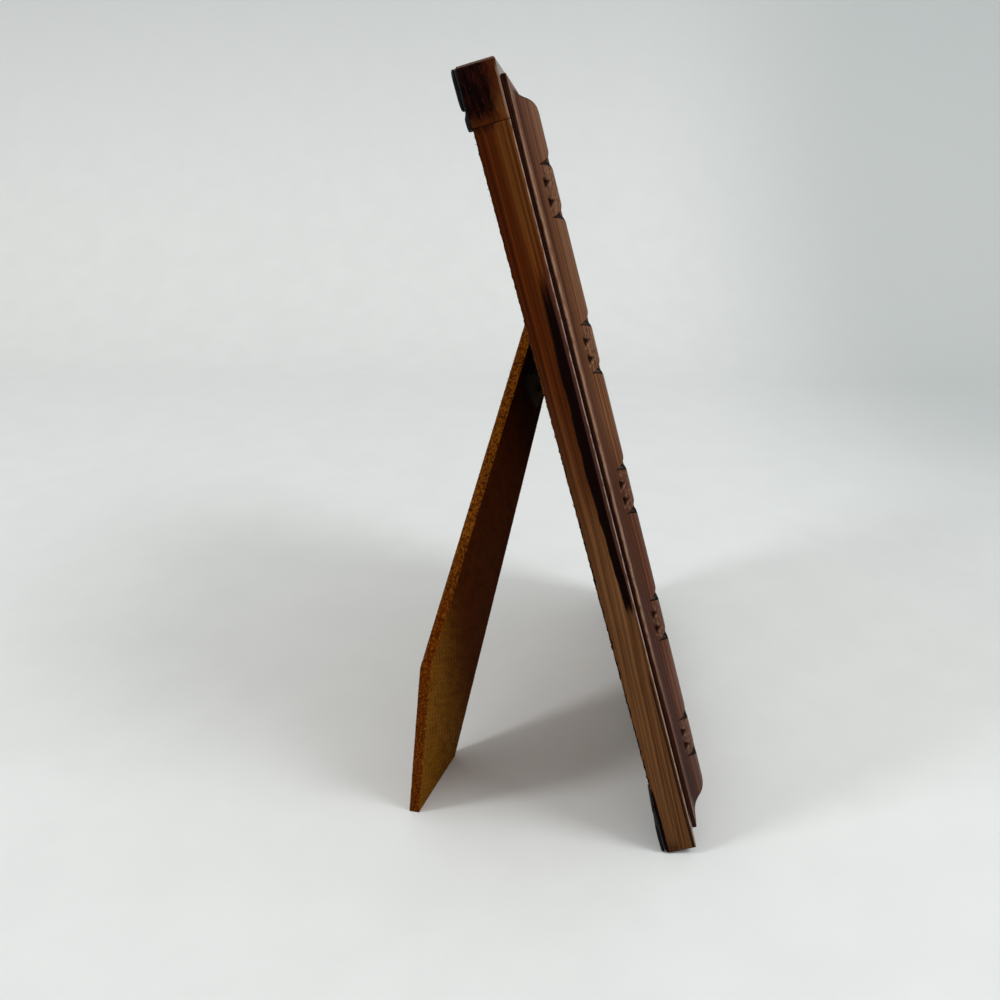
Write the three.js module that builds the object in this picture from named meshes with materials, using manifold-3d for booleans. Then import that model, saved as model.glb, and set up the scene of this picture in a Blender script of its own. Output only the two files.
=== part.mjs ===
// A wooden table-top picture frame on a two-way easel leg.
// A plain rear frame of four rails carries four mitred lengths of carved moulding. Between them sit the glass,
// the blank insert, a filler card and a hardboard back, and a hardboard leg is hinged to that back.
// Millimetres, +Z up, the front towards -Y, standing on the table at Z = 0.

import * as THREE from "three";
import { ConvexGeometry } from "three/addons/geometries/ConvexGeometry.js";
import { mergeVertices } from "three/addons/utils/BufferGeometryUtils.js";
import Module from "manifold-3d";

// Overall sizes
const FRAME_HEIGHT = 207;
const FRAME_WIDTH = 157;
const LEAN = 15.5; // degrees that the standing frame leans back
const LANDSCAPE_LEAN = 12.7; // degrees that it leans back when it stands on its left side
const TABLE_LIFT = 0.3; // bottom edge of the rear frame above the table

// Clearances
const SEAT_GAP = 0.15; // between faces that are glued, pressed or riveted together
const FIT_GAP = 0.5; // all round a sheet in its rebate
const HOLE_GAP = 0.12; // round a shank in its hole
const RUN_GAP = 0.3; // between pieces that pass each other

// Rear frame
const RAIL_WIDTH = 12.5;
const RAIL_THICKNESS = 8.3;

// Carved moulding: its section, from the thin outer lip over the cove and the crest to the sight edge
const MOULDING_INSET = 3.6; // from the rear frame's outer edge
const MOULDING_WIDTH = 15;
const LIP_HEIGHT = 1.2;
const FLANGE_WIDTH = 3.3;
const FLANGE_RISE = 0.65;
const COVE_WIDTH = 2.4;
const COVE_RISE = 2.2;
const SHOULDER_WIDTH = 2.6;
const CREST_HEIGHT = 5.9;
const CREST_WIDTH = 2.6;
const CREST_CROWN = 0.15;
const SIGHT_HEIGHT = 3;
const CURVE_STEPS = 6;

// Carving: bands across the crest, each with a notch at both ends and chip cuts between them
const BAND_LENGTH = 11.9; // from notch to notch
const BAND_PITCH = 37; // aimed at, and fitted evenly to each side
const BAND_MARGIN = 19.6; // from the moulding's upper or left corner to the first notch
const BAND_END_MARGIN = 18.2; // from the last notch to the other corner
const NOTCH_DEPTH = 1.15; // on the middle of the crest
const NOTCH_LENGTH = 4.6; // along the crest, at its top
const NOTCH_FALL = 17.5; // degrees, from the middle of the crest down to both flanks
const CHIP_PLACES = [0.3, 0.67]; // along the band
const CHIP_LENGTH = 2.4; // along the foot of the flank
const CHIP_WIDTH = 1.8; // up the flank
const CHIP_DEPTH = 0.8;

// What the rebate holds
const GLASS_THICKNESS = 2;
const INSERT_THICKNESS = 0.4;
const FILLER_THICKNESS = 0.9;
const BOARD_THICKNESS = 3;

// Flat points that hold the board in
const POINT_WIDTH = 6;
const POINT_LENGTH = 12;
const POINT_DEPTH = 5.5; // driven into the rail
const POINT_THICKNESS = 0.4;
const POINT_SPACING = 70; // between the two on a side

// Felt patches glued over the rear corners, and a rubber bumper on each
const TOP_PATCH_LENGTH = 12.6;
const BOTTOM_PATCH_LENGTH = 16.6;
const PATCH_THICKNESS = 0.4;
const PATCH_CORNER = 2;
const TOP_BUMPER_SIZE = 8.3;
const BOTTOM_BUMPER_SIZE = 10.5;
const BUMPER_THICKNESS = 0.75;
const BUMPER_CORNER = 2.5;
const BUMPER_BEVEL = 0.2;
const BUMPER_DROP = 0.7; // of the lower two below the frame's edge, before they are trimmed level
const CORNER_INSET = 0.4; // of both from the frame's outer edges

// Brads through the top rail into the side rails
const BRAD_RADIUS = 0.6;
const BRAD_HEAD_RADIUS = 1.1;
const BRAD_HEAD_HEIGHT = 0.7;
const BRAD_LENGTH = 26;
const BRAD_SPACING = 6.5;

// Easel hinge: a pin that lies askew across the back, and two riveted leaves
const HINGE_HEIGHT = 127; // pin's middle above the frame's bottom edge
const HINGE_SIDE = 1; // pin's middle to the right of the frame's middle, seen from the front
const HINGE_TILT = 37.7; // degrees
const OPENING = 27.7; // degrees between the open leg and the back
const PIN_RADIUS = 0.8;
const PIN_HEAD_RADIUS = 1.25;
const PIN_HEAD_HEIGHT = 0.5;
const BARREL_RADIUS = 1.45;
const LEAF_THICKNESS = 0.7;
const LEAF_WIDTH = 24;
const LEAF_LENGTH = 15;
const LEAF_CORNER = 2.5;
const RIVET_SPACING = 14;
const RIVET_REACH = 9.5; // from the pin
const RIVET_RADIUS = 1.2;
const RIVET_HEAD_RADIUS = 2.4;
const RIVET_HEAD_HEIGHT = 0.7;
const RIVET_TAIL_HEIGHT = 0.4;

// Easel leg: a tapered strip of hardboard whose foot is trimmed level for both ways of standing
const LEG_THICKNESS = 3;
const LEG_TOP_WIDTH = 33;
const LEG_FLARE = 10; // degrees of the one edge that isn't square to the pin
const LEG_BLANK = 220; // length before its foot is trimmed

const ROUND_STEPS = 12;

const wasm = await Module();
wasm.setup();

const radians = THREE.MathUtils.degToRad;

// A closed solid of a geometry, and back again
function solidOf(geometry) {
  const bare = new THREE.BufferGeometry();
  bare.setAttribute("position", geometry.getAttribute("position"));
  if (geometry.index) bare.setIndex(geometry.index);
  const merged = mergeVertices(bare, 1e-4);
  return new wasm.Manifold(
    new wasm.Mesh({
      numProp: 3,
      vertProperties: new Float32Array(merged.attributes.position.array),
      triVerts: new Uint32Array(merged.index.array),
    }),
  );
}

function geometryOf(solid) {
  const mesh = solid.getMesh();
  const geometry = new THREE.BufferGeometry();
  geometry.setAttribute("position", new THREE.BufferAttribute(mesh.vertProperties, 3));
  geometry.setIndex(new THREE.BufferAttribute(mesh.triVerts, 1));
  return geometry;
}

function cut(geometry, cutters) {
  const solid = cutters.reduce((left, cutter) => left.subtract(solidOf(cutter)), solidOf(geometry));
  return geometryOf(solid);
}

function join(geometries) {
  const [first, ...rest] = geometries.map(solidOf);
  return geometryOf(rest.reduce((left, next) => left.add(next), first));
}

// A box between two corners
function block(low, high) {
  const size = high.map((value, i) => value - low[i]);
  const middle = high.map((value, i) => (value + low[i]) / 2);
  return new THREE.BoxGeometry(...size).translate(...middle);
}

// A cylinder along X, Y or Z between two places on its axis
function rod(axis, radius, from, to) {
  const geometry = new THREE.CylinderGeometry(radius, radius, to - from, ROUND_STEPS);
  geometry.translate(0, (from + to) / 2, 0);
  if (axis === "x") geometry.rotateZ(-Math.PI / 2);
  if (axis === "z") geometry.rotateX(Math.PI / 2);
  return geometry;
}

// A turned piece about Y from its [radius, height] points, which start and end on the axis, lowest first
function turned(points) {
  const profile = points.map(([radius, height]) => new THREE.Vector2(radius, height));
  return new THREE.LatheGeometry(profile, ROUND_STEPS);
}

// A rectangle with round corners, as a shape
function roundedShape(left, right, bottom, top, radius) {
  const shape = new THREE.Shape();
  shape.moveTo(left + radius, bottom);
  shape.lineTo(right - radius, bottom);
  shape.absarc(right - radius, bottom + radius, radius, -Math.PI / 2, 0);
  shape.lineTo(right, top - radius);
  shape.absarc(right - radius, top - radius, radius, 0, Math.PI / 2);
  shape.lineTo(left + radius, top);
  shape.absarc(left + radius, top - radius, radius, Math.PI / 2, Math.PI);
  shape.lineTo(left, bottom + radius);
  shape.absarc(left + radius, bottom + radius, radius, Math.PI, Math.PI * 1.5);
  return shape;
}

// A sheet of a shape drawn in X and Z, lying between two places on Y
function sheet(shape, from, to, bevel = 0) {
  const geometry = new THREE.ExtrudeGeometry(shape, {
    depth: to - from - 2 * bevel,
    curveSegments: 4,
    bevelEnabled: bevel > 0,
    bevelThickness: bevel,
    bevelSize: bevel,
    bevelOffset: -bevel,
    bevelSegments: 1,
  });
  return geometry.rotateX(Math.PI / 2).translate(0, to - bevel, 0);
}

// Finishes
const finish = (color, roughness, metalness = 0) => ({ color, roughness, metalness });
const STAINED_PINE = finish("#7a4c28", 0.55);
const VARNISHED_WOOD = finish("#6b4030", 0.4);
const CLEAR_GLASS = finish("#dfe8e6", 0.05);
const PLAIN_PAPER = finish("#efece2", 0.9);
const GREY_CARD = finish("#9a958b", 0.95);
const HARDBOARD = finish("#8a5f1f", 0.8);
const BRIGHT_STEEL = finish("#b5b6b4", 0.35, 1);
const BLACK_STEEL = finish("#1b1c1e", 0.5, 0.6);
const BLACK_FELT = finish("#14120f", 0.95);
const BLACK_RUBBER = finish("#121416", 0.8);

function place(parent, name, geometry, look) {
  const mesh = new THREE.Mesh(geometry, new THREE.MeshStandardMaterial(look));
  mesh.name = name;
  parent.add(mesh);
  return mesh;
}

// The standing frame: inside it X runs across, Y to the back and Z up the frame from its bottom edge,
// with the rear frame's back at Y = 0
const model = new THREE.Group();
const frame = new THREE.Group();
frame.rotation.x = radians(-LEAN);
frame.position.z = TABLE_LIFT;
model.add(frame);

const SIDE = FRAME_WIDTH / 2;
const INNER_SIDE = SIDE - RAIL_WIDTH;
const INNER_TOP = FRAME_HEIGHT - RAIL_WIDTH;
const SIDES = [
  ["left", -1],
  ["right", 1],
];
const ENDS = [
  ["top", FRAME_HEIGHT, -1, TOP_PATCH_LENGTH, TOP_BUMPER_SIZE],
  ["bottom", 0, 1, BOTTOM_PATCH_LENGTH, BOTTOM_BUMPER_SIZE],
];

// Places on Y of the layers in the rebate, from the moulding's back to the board's back
const FRONT = -RAIL_THICKNESS;
const GLASS_BACK = FRONT + SEAT_GAP + GLASS_THICKNESS;
const INSERT_BACK = GLASS_BACK + SEAT_GAP + INSERT_THICKNESS;
const FILLER_BACK = INSERT_BACK + SEAT_GAP + FILLER_THICKNESS;
const BOARD_FRONT = FILLER_BACK + SEAT_GAP;
const BOARD_BACK = BOARD_FRONT + BOARD_THICKNESS;

// The hinge lies on the board's back, and its pin runs along the X of its own group.
// The leg's group turns about that pin, with the leg hanging down its -Z.
const PIN_OFF_BOARD = BARREL_RADIUS + SEAT_GAP;
const hinge = new THREE.Group();
hinge.position.set(HINGE_SIDE, BOARD_BACK + PIN_OFF_BOARD, HINGE_HEIGHT);
hinge.rotation.y = radians(HINGE_TILT);
frame.add(hinge);
const leg = new THREE.Group();
leg.rotation.x = radians(OPENING);
hinge.add(leg);
model.updateMatrixWorld(true);

// The table, as a block to trim feet with, in the coordinates of a group
const TABLE_SIZE = 1000;
function tableIn(group) {
  const top = block([-TABLE_SIZE, -TABLE_SIZE, -TABLE_SIZE], [TABLE_SIZE, TABLE_SIZE, 0]);
  return top.applyMatrix4(group.matrixWorld.clone().invert());
}

// The same table as the leg meets it when the frame stands on its left side
function sideTableIn(group) {
  const face = block([-TABLE_SIZE, -TABLE_SIZE, -TABLE_SIZE], [0, TABLE_SIZE, TABLE_SIZE]);
  face.rotateZ(radians(-LANDSCAPE_LEAN)).translate(-SIDE, 0, 0);
  return face.applyMatrix4(frame.matrixWorld).applyMatrix4(group.matrixWorld.clone().invert());
}

// Places of the flat points, two on each side
const POINT_PLACES = [-POINT_SPACING / 2, POINT_SPACING / 2];
const POINT_FRONT = BOARD_BACK + SEAT_GAP;
const points = [];
for (const [index, along] of POINT_PLACES.entries()) {
  const number = index + 1;
  for (const [side, way] of SIDES)
    points.push([`point_${side}_${number}`, way * INNER_SIDE, FRAME_HEIGHT / 2 + along, way, 0]);
  points.push([`point_top_${number}`, along, INNER_TOP, 0, 1]);
  points.push([`point_bottom_${number}`, along, RAIL_WIDTH, 0, -1]);
}

// A flat point: a tab that runs from inside the rail out over the board, grown by a clearance for its slot
function point([, x, z, acrossWay, upWay], clearance = 0) {
  const half = POINT_WIDTH / 2 + clearance;
  const deep = POINT_DEPTH + clearance;
  const out = POINT_LENGTH - POINT_DEPTH;
  const low = [x - half, POINT_FRONT - clearance, z - half];
  const high = [x + half, POINT_FRONT + POINT_THICKNESS + clearance, z + half];
  for (const [axis, start, way] of [
    [0, x, acrossWay],
    [2, z, upWay],
  ]) {
    if (way === 0) continue;
    low[axis] = start - (way > 0 ? out : deep);
    high[axis] = start + (way > 0 ? deep : out);
  }
  return block(low, high);
}

// Brads stand in the top rail over each side rail
const brads = SIDES.flatMap(([side, way]) =>
  [-0.5, 0.5].map((step, index) => [
    `brad_${side}_${index + 1}`,
    way * (SIDE - RAIL_WIDTH / 2) + step * BRAD_SPACING,
  ]),
);

function brad(clearance = 0) {
  const neck = FRAME_HEIGHT - BRAD_HEAD_HEIGHT - clearance;
  const points = [
    [0, FRAME_HEIGHT - BRAD_LENGTH - clearance],
    [BRAD_RADIUS + clearance, FRAME_HEIGHT - BRAD_LENGTH - clearance],
    [BRAD_RADIUS + clearance, neck],
    [BRAD_HEAD_RADIUS + clearance, neck],
    [BRAD_HEAD_RADIUS + clearance, FRAME_HEIGHT + clearance],
    [0, FRAME_HEIGHT + clearance],
  ];
  return turned(points).rotateX(Math.PI / 2);
}

const bradCutters = brads.map(([, x]) => brad(HOLE_GAP).translate(x, -RAIL_THICKNESS / 2, 0));
const pointSlots = points.map((place) => point(place, HOLE_GAP));
const railCutters = [...bradCutters, ...pointSlots];

// Rear rails: the top one runs right across, the bottom one sits between the sides
function rail(name, low, high) {
  const body = block([low[0], FRONT, low[1]], [high[0], 0, high[1]]);
  place(frame, name, cut(body, railCutters), STAINED_PINE);
}
rail("rear_rail_top", [-SIDE, INNER_TOP], [SIDE, FRAME_HEIGHT]);
rail("rear_rail_left", [-SIDE, 0], [-INNER_SIDE, INNER_TOP - SEAT_GAP]);
rail("rear_rail_right", [INNER_SIDE, 0], [SIDE, INNER_TOP - SEAT_GAP]);
rail("rear_rail_bottom", [SEAT_GAP - INNER_SIDE, 0], [INNER_SIDE - SEAT_GAP, RAIL_WIDTH]);
for (const [name, x] of brads) {
  place(frame, name, brad(), BRIGHT_STEEL).position.set(x, -RAIL_THICKNESS / 2, 0);
}

// Carved moulding, drawn as [inward from its outer edge, height in front of the rear frame]
const FLANGE_END = [FLANGE_WIDTH, LIP_HEIGHT + FLANGE_RISE];
const FLANK_FOOT = [FLANGE_END[0] + COVE_WIDTH, FLANGE_END[1] + COVE_RISE];
const CREST_START = [FLANK_FOOT[0] + SHOULDER_WIDTH, CREST_HEIGHT];
const CREST_END = [CREST_START[0] + CREST_WIDTH, CREST_HEIGHT];
const CREST_MIDDLE = (CREST_START[0] + CREST_END[0]) / 2;
const INNER_FLANK = [(CREST_END[0] + MOULDING_WIDTH) / 2, (CREST_HEIGHT + SIGHT_HEIGHT) / 2];

function mouldingSection() {
  const shape = new THREE.Shape();
  shape.moveTo(0, 0);
  shape.lineTo(MOULDING_WIDTH, 0);
  shape.lineTo(MOULDING_WIDTH, SIGHT_HEIGHT);
  shape.quadraticCurveTo(INNER_FLANK[0], SIGHT_HEIGHT, ...INNER_FLANK);
  shape.quadraticCurveTo(INNER_FLANK[0], CREST_HEIGHT, ...CREST_END);
  shape.quadraticCurveTo(CREST_MIDDLE, CREST_HEIGHT + 2 * CREST_CROWN, ...CREST_START);
  shape.quadraticCurveTo(FLANK_FOOT[0] + SHOULDER_WIDTH / 5, CREST_HEIGHT, ...FLANK_FOOT);
  shape.quadraticCurveTo(FLANK_FOOT[0] - COVE_WIDTH / 4, FLANGE_END[1] + COVE_RISE / 6, ...FLANGE_END);
  shape.lineTo(0, LIP_HEIGHT);
  return shape;
}

// A length of moulding along X, its outer edge at Z = 0 and its front towards -Y, mitred at both ends
function mouldingBlank(length) {
  const geometry = new THREE.ExtrudeGeometry(mouldingSection(), {
    depth: 1,
    steps: 1,
    curveSegments: CURVE_STEPS,
    bevelEnabled: false,
  });
  const position = geometry.getAttribute("position");
  for (let i = 0; i < position.count; i++) {
    const inward = position.getX(i);
    const height = position.getY(i);
    const way = position.getZ(i) > 0.5 ? 1 : -1;
    position.setXYZ(i, way * (length / 2 - inward - SEAT_GAP), -height, inward);
  }
  return geometry;
}

// A notch at a place along the moulding: two V cuts that cross on the crest, each falling towards one flank
function notch(along) {
  const floor = CREST_HEIGHT + CREST_CROWN - NOTCH_DEPTH;
  const shape = new THREE.Shape();
  shape.moveTo(0, 0);
  shape.lineTo(NOTCH_LENGTH, -2 * NOTCH_DEPTH);
  shape.lineTo(-NOTCH_LENGTH, -2 * NOTCH_DEPTH);
  return [1, -1].map((way) => {
    const across = new THREE.ExtrudeGeometry(shape, { depth: 2 * MOULDING_WIDTH, bevelEnabled: false });
    across.translate(0, 0, -MOULDING_WIDTH).rotateX((way * NOTCH_FALL * Math.PI) / 180);
    return across.translate(along, -floor, CREST_MIDDLE);
  });
}

// A three-sided chip on a flank, its base along the flank's foot and its tip towards the crest
function chip(along, foot, head) {
  const middle = new THREE.Vector3(along, -(foot[1] + head[1]) / 2, (foot[0] + head[0]) / 2);
  const up = new THREE.Vector3(0, foot[1] - head[1], head[0] - foot[0]).normalize();
  const run = new THREE.Vector3(1, 0, 0);
  const out = new THREE.Vector3().crossVectors(run, up).normalize();
  if (out.y > 0) out.negate();
  const bottom = middle.clone().addScaledVector(up, -CHIP_WIDTH / 6).addScaledVector(out, -CHIP_DEPTH);
  const rim = [
    middle.clone().addScaledVector(run, CHIP_LENGTH / 2).addScaledVector(up, -CHIP_WIDTH / 2),
    middle.clone().addScaledVector(run, -CHIP_LENGTH / 2).addScaledVector(up, -CHIP_WIDTH / 2),
    middle.clone().addScaledVector(up, CHIP_WIDTH / 2),
  ];
  const clear = rim.map((corner) => corner.lerp(bottom, -2));
  return new ConvexGeometry([bottom, ...clear]);
}

// A chip's ends on each flank: below and above the place where the hollow turns into the shoulder
const OUTER_CHIP = [
  [FLANK_FOOT[0] - COVE_WIDTH / 7, FLANK_FOOT[1] - COVE_RISE / 3],
  [FLANK_FOOT[0] + SHOULDER_WIDTH / 6, (FLANK_FOOT[1] + CREST_HEIGHT) / 2],
];
const INNER_CHIP = [
  [INNER_FLANK[0] + (MOULDING_WIDTH - INNER_FLANK[0]) / 16, (INNER_FLANK[1] * 4 + SIGHT_HEIGHT * 3) / 7],
  [INNER_FLANK[0] - (INNER_FLANK[0] - CREST_END[0]) / 8, (INNER_FLANK[1] * 2 + CREST_HEIGHT * 3) / 5],
];

function carving(length, way) {
  const run = length - BAND_MARGIN - BAND_LENGTH - BAND_END_MARGIN;
  const count = Math.max(1, Math.round(run / BAND_PITCH));
  const cutters = [];
  for (let i = 0; i <= count; i++) {
    const first = -way * (length / 2 - BAND_MARGIN - (i * run) / count);
    cutters.push(...notch(first), ...notch(first + way * BAND_LENGTH));
    for (const share of CHIP_PLACES) {
      const along = first + way * share * BAND_LENGTH;
      cutters.push(chip(along, ...OUTER_CHIP), chip(along, ...INNER_CHIP));
    }
  }
  return cutters;
}

// Each length turns about the frame's middle axis to its side, and is carved from the top or from the left
function moulding(name, length, turn, x, z, way) {
  const blank = mouldingBlank(length);
  const mesh = place(frame, name, cut(blank, carving(length, way)), VARNISHED_WOOD);
  mesh.rotation.y = turn;
  mesh.position.set(x, FRONT - SEAT_GAP, z);
}
const LONG = FRAME_HEIGHT - 2 * MOULDING_INSET;
const SHORT = FRAME_WIDTH - 2 * MOULDING_INSET;
moulding("moulding_left", LONG, Math.PI / 2, MOULDING_INSET - SIDE, FRAME_HEIGHT / 2, 1);
moulding("moulding_right", LONG, -Math.PI / 2, SIDE - MOULDING_INSET, FRAME_HEIGHT / 2, -1);
moulding("moulding_top", SHORT, Math.PI, 0, FRAME_HEIGHT - MOULDING_INSET, -1);
moulding("moulding_bottom", SHORT, 0, 0, MOULDING_INSET, 1);

// Sheets in the rebate
const SHEET_LOW = [FIT_GAP - INNER_SIDE, RAIL_WIDTH + FIT_GAP];
const SHEET_HIGH = [INNER_SIDE - FIT_GAP, INNER_TOP - FIT_GAP];
function rebateSheet(back, thickness) {
  return block([SHEET_LOW[0], back - thickness, SHEET_LOW[1]], [SHEET_HIGH[0], back, SHEET_HIGH[1]]);
}

// Rivets stand at two places along the pin, on a leaf, and turn about Y
const RIVET_PLACES = [-RIVET_SPACING / 2, RIVET_SPACING / 2];
function rivet(low, high) {
  return turned([
    [0, low - RIVET_TAIL_HEIGHT],
    [RIVET_HEAD_RADIUS * 0.9, low - RIVET_TAIL_HEIGHT],
    [RIVET_HEAD_RADIUS * 0.9, low],
    [RIVET_RADIUS, low],
    [RIVET_RADIUS, high],
    [RIVET_HEAD_RADIUS, high],
    [RIVET_HEAD_RADIUS * 0.85, high + RIVET_HEAD_HEIGHT * 0.6],
    [RIVET_HEAD_RADIUS * 0.45, high + RIVET_HEAD_HEIGHT],
    [0, high + RIVET_HEAD_HEIGHT],
  ]);
}
const rivetHoles = (z, from, to) =>
  RIVET_PLACES.map((x) => rod("y", RIVET_RADIUS + HOLE_GAP, from, to).translate(x, 0, z));

const intoFrame = (geometry) => geometry.applyMatrix4(hinge.matrix);
const boardHoles = rivetHoles(RIVET_REACH, -PIN_OFF_BOARD - 2 * BOARD_THICKNESS, 0).map(intoFrame);
const tailHoles = RIVET_PLACES.map((x) =>
  intoFrame(
    rod("y", RIVET_HEAD_RADIUS + RUN_GAP, -PIN_OFF_BOARD - 2 * BOARD_THICKNESS, 0).translate(x, 0, RIVET_REACH),
  ),
);

place(frame, "glass_pane", rebateSheet(GLASS_BACK, GLASS_THICKNESS), CLEAR_GLASS);
place(frame, "insert_card", rebateSheet(INSERT_BACK, INSERT_THICKNESS), PLAIN_PAPER);
place(frame, "filler_card", cut(rebateSheet(FILLER_BACK, FILLER_THICKNESS), tailHoles), GREY_CARD);
place(frame, "backing_board", cut(rebateSheet(BOARD_BACK, BOARD_THICKNESS), boardHoles), HARDBOARD);
for (const spot of points) place(frame, spot[0], point(spot), BRIGHT_STEEL);

// A rectangle with round corners in a rear corner, a distance in from the top or bottom edge
function cornerShape(edge, inward, way, [width, length], fromEdge, radius) {
  const outer = way * (SIDE - CORNER_INSET);
  const start = edge + inward * fromEdge;
  const sides = [outer, outer - way * width].sort((a, b) => a - b);
  const ends = [start, start + inward * length].sort((a, b) => a - b);
  return roundedShape(...sides, ...ends, radius);
}

// The frame stands on its two lower bumpers, which are trimmed level
const PATCH_WIDTH = RAIL_WIDTH - 2 * CORNER_INSET;
const PATCH_BACK = SEAT_GAP + PATCH_THICKNESS;
const BUMPER_FRONT = PATCH_BACK + SEAT_GAP;
const BUMPER_BACK = BUMPER_FRONT + BUMPER_THICKNESS;
for (const [end, edge, inward, patchLength, bumperSize] of ENDS)
  for (const [side, way] of SIDES) {
    const patchSize = [PATCH_WIDTH, patchLength];
    const patch = cornerShape(edge, inward, way, patchSize, CORNER_INSET, PATCH_CORNER);
    place(frame, `corner_patch_${end}_${side}`, sheet(patch, SEAT_GAP, PATCH_BACK), BLACK_FELT);
    const fromEdge = end === "top" ? CORNER_INSET : -BUMPER_DROP;
    const bumper = cornerShape(edge, inward, way, [bumperSize, bumperSize], fromEdge, BUMPER_CORNER);
    const whole = sheet(bumper, BUMPER_FRONT, BUMPER_BACK, BUMPER_BEVEL);
    place(frame, `bumper_${end}_${side}`, cut(whole, [tableIn(frame)]), BLACK_RUBBER);
  }

// Hinge: the board's leaf has the two outer knuckles, the leg's leaf has the middle one
const KNUCKLE = LEAF_WIDTH / 3;
const BORE_RADIUS = PIN_RADIUS + HOLE_GAP;
const LEG_FACE = BARREL_RADIUS + RUN_GAP; // the leg's inner face behind the pin
const knuckleSpans = [-1, 0, 1].map((step) => [(step - 0.5) * KNUCKLE, (step + 0.5) * KNUCKLE]);
const knuckle = ([from, to], grow) => rod("x", BARREL_RADIUS + grow, from - grow / 2, to + grow / 2);
const bore = rod("x", BORE_RADIUS, -LEAF_WIDTH, LEAF_WIDTH);

function leaf(low, high, own, others, from, to) {
  const half = LEAF_WIDTH / 2;
  const plate = sheet(roundedShape(-half, half, low, high, LEAF_CORNER), from, to);
  const whole = join([plate, ...own.map((span) => knuckle(span, 0))]);
  const reach = low < -LEAF_CORNER ? low + LEAF_LENGTH - RIVET_REACH : RIVET_REACH;
  const clear = others.map((span) => knuckle(span, RUN_GAP));
  return cut(whole, [...clear, bore, ...rivetHoles(reach, from - 1, to + 1)]);
}
const [outerA, middle, outerB] = knuckleSpans;
const LEAF_BACK = LEAF_THICKNESS - BARREL_RADIUS; // of the board's leaf
const LEG_LEAF_BACK = LEG_FACE - SEAT_GAP;
place(
  hinge,
  "hinge_board_leaf",
  leaf(-BORE_RADIUS, LEAF_LENGTH, [outerA, outerB], [middle], -BARREL_RADIUS, LEAF_BACK),
  BLACK_STEEL,
);
place(
  leg,
  "hinge_leg_leaf",
  leaf(-LEAF_LENGTH, BORE_RADIUS, [middle], [outerA, outerB], LEG_LEAF_BACK - LEAF_THICKNESS, LEG_LEAF_BACK),
  BLACK_STEEL,
);
const pinEnd = LEAF_WIDTH / 2 + SEAT_GAP;
const pinProfile = [
  [0, -pinEnd - PIN_HEAD_HEIGHT],
  [PIN_HEAD_RADIUS, -pinEnd - PIN_HEAD_HEIGHT],
  [PIN_HEAD_RADIUS, -pinEnd],
  [PIN_RADIUS, -pinEnd],
  [PIN_RADIUS, pinEnd],
  [PIN_HEAD_RADIUS, pinEnd],
  [PIN_HEAD_RADIUS, pinEnd + PIN_HEAD_HEIGHT],
  [0, pinEnd + PIN_HEAD_HEIGHT],
];
place(hinge, "hinge_pin", turned(pinProfile).rotateZ(-Math.PI / 2), BLACK_STEEL);

// The leg runs on past the pin: its heel meets the board's leaf when the leg is fully open
const HEEL = (LEG_FACE * Math.cos(radians(OPENING)) - LEAF_BACK - RUN_GAP) / Math.sin(radians(OPENING));
const LEG_BACK = LEG_FACE + LEG_THICKNESS;
function easelLeg() {
  const half = LEG_TOP_WIDTH / 2;
  const flare = (LEG_BLANK + HEEL) * Math.tan(radians(LEG_FLARE));
  const shape = new THREE.Shape();
  shape.moveTo(-half, HEEL);
  shape.lineTo(-half, -LEG_BLANK);
  shape.lineTo(half + flare, -LEG_BLANK);
  shape.lineTo(half, HEEL);
  const blank = sheet(shape, LEG_FACE, LEG_BACK);
  const holes = rivetHoles(-RIVET_REACH, LEG_FACE - 1, LEG_BACK + 1);
  return cut(blank, [tableIn(leg), sideTableIn(leg), ...holes]);
}
place(leg, "easel_leg", easelLeg(), HARDBOARD);

for (const [index, x] of RIVET_PLACES.entries()) {
  const boardRivet = rivet(-PIN_OFF_BOARD - BOARD_THICKNESS - SEAT_GAP, LEAF_BACK + SEAT_GAP);
  place(hinge, `rivet_board_${index + 1}`, boardRivet, BLACK_STEEL).position.set(x, 0, RIVET_REACH);
  const legRivet = rivet(LEG_LEAF_BACK - LEAF_THICKNESS - SEAT_GAP, LEG_BACK + SEAT_GAP);
  place(leg, `rivet_leg_${index + 1}`, legRivet, BLACK_STEEL).position.set(x, 0, -RIVET_REACH);
}

// The origin is on the table under the middle of the standing frame's box
model.updateMatrixWorld(true);
const box = new THREE.Box3().setFromObject(model, true);
for (const part of [...model.children]) {
  part.position.x -= (box.min.x + box.max.x) / 2;
  part.position.y -= (box.min.y + box.max.y) / 2;
}

export default model;
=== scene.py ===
# %% [markdown]
# # A small carved picture frame on its easel leg
# The frame stands edge-on to the camera, so its near side, its carved moulding and its leg fill the picture.
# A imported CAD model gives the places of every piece. Here each visible piece gets its real surface:
# rounded and worn edges, carved cuts, rough saw marks, felt, rubber and stained wood.

import math
from functools import partialmethod

import bmesh
import bpy
import numpy as np
from mathutils import Matrix, Vector, noise


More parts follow.
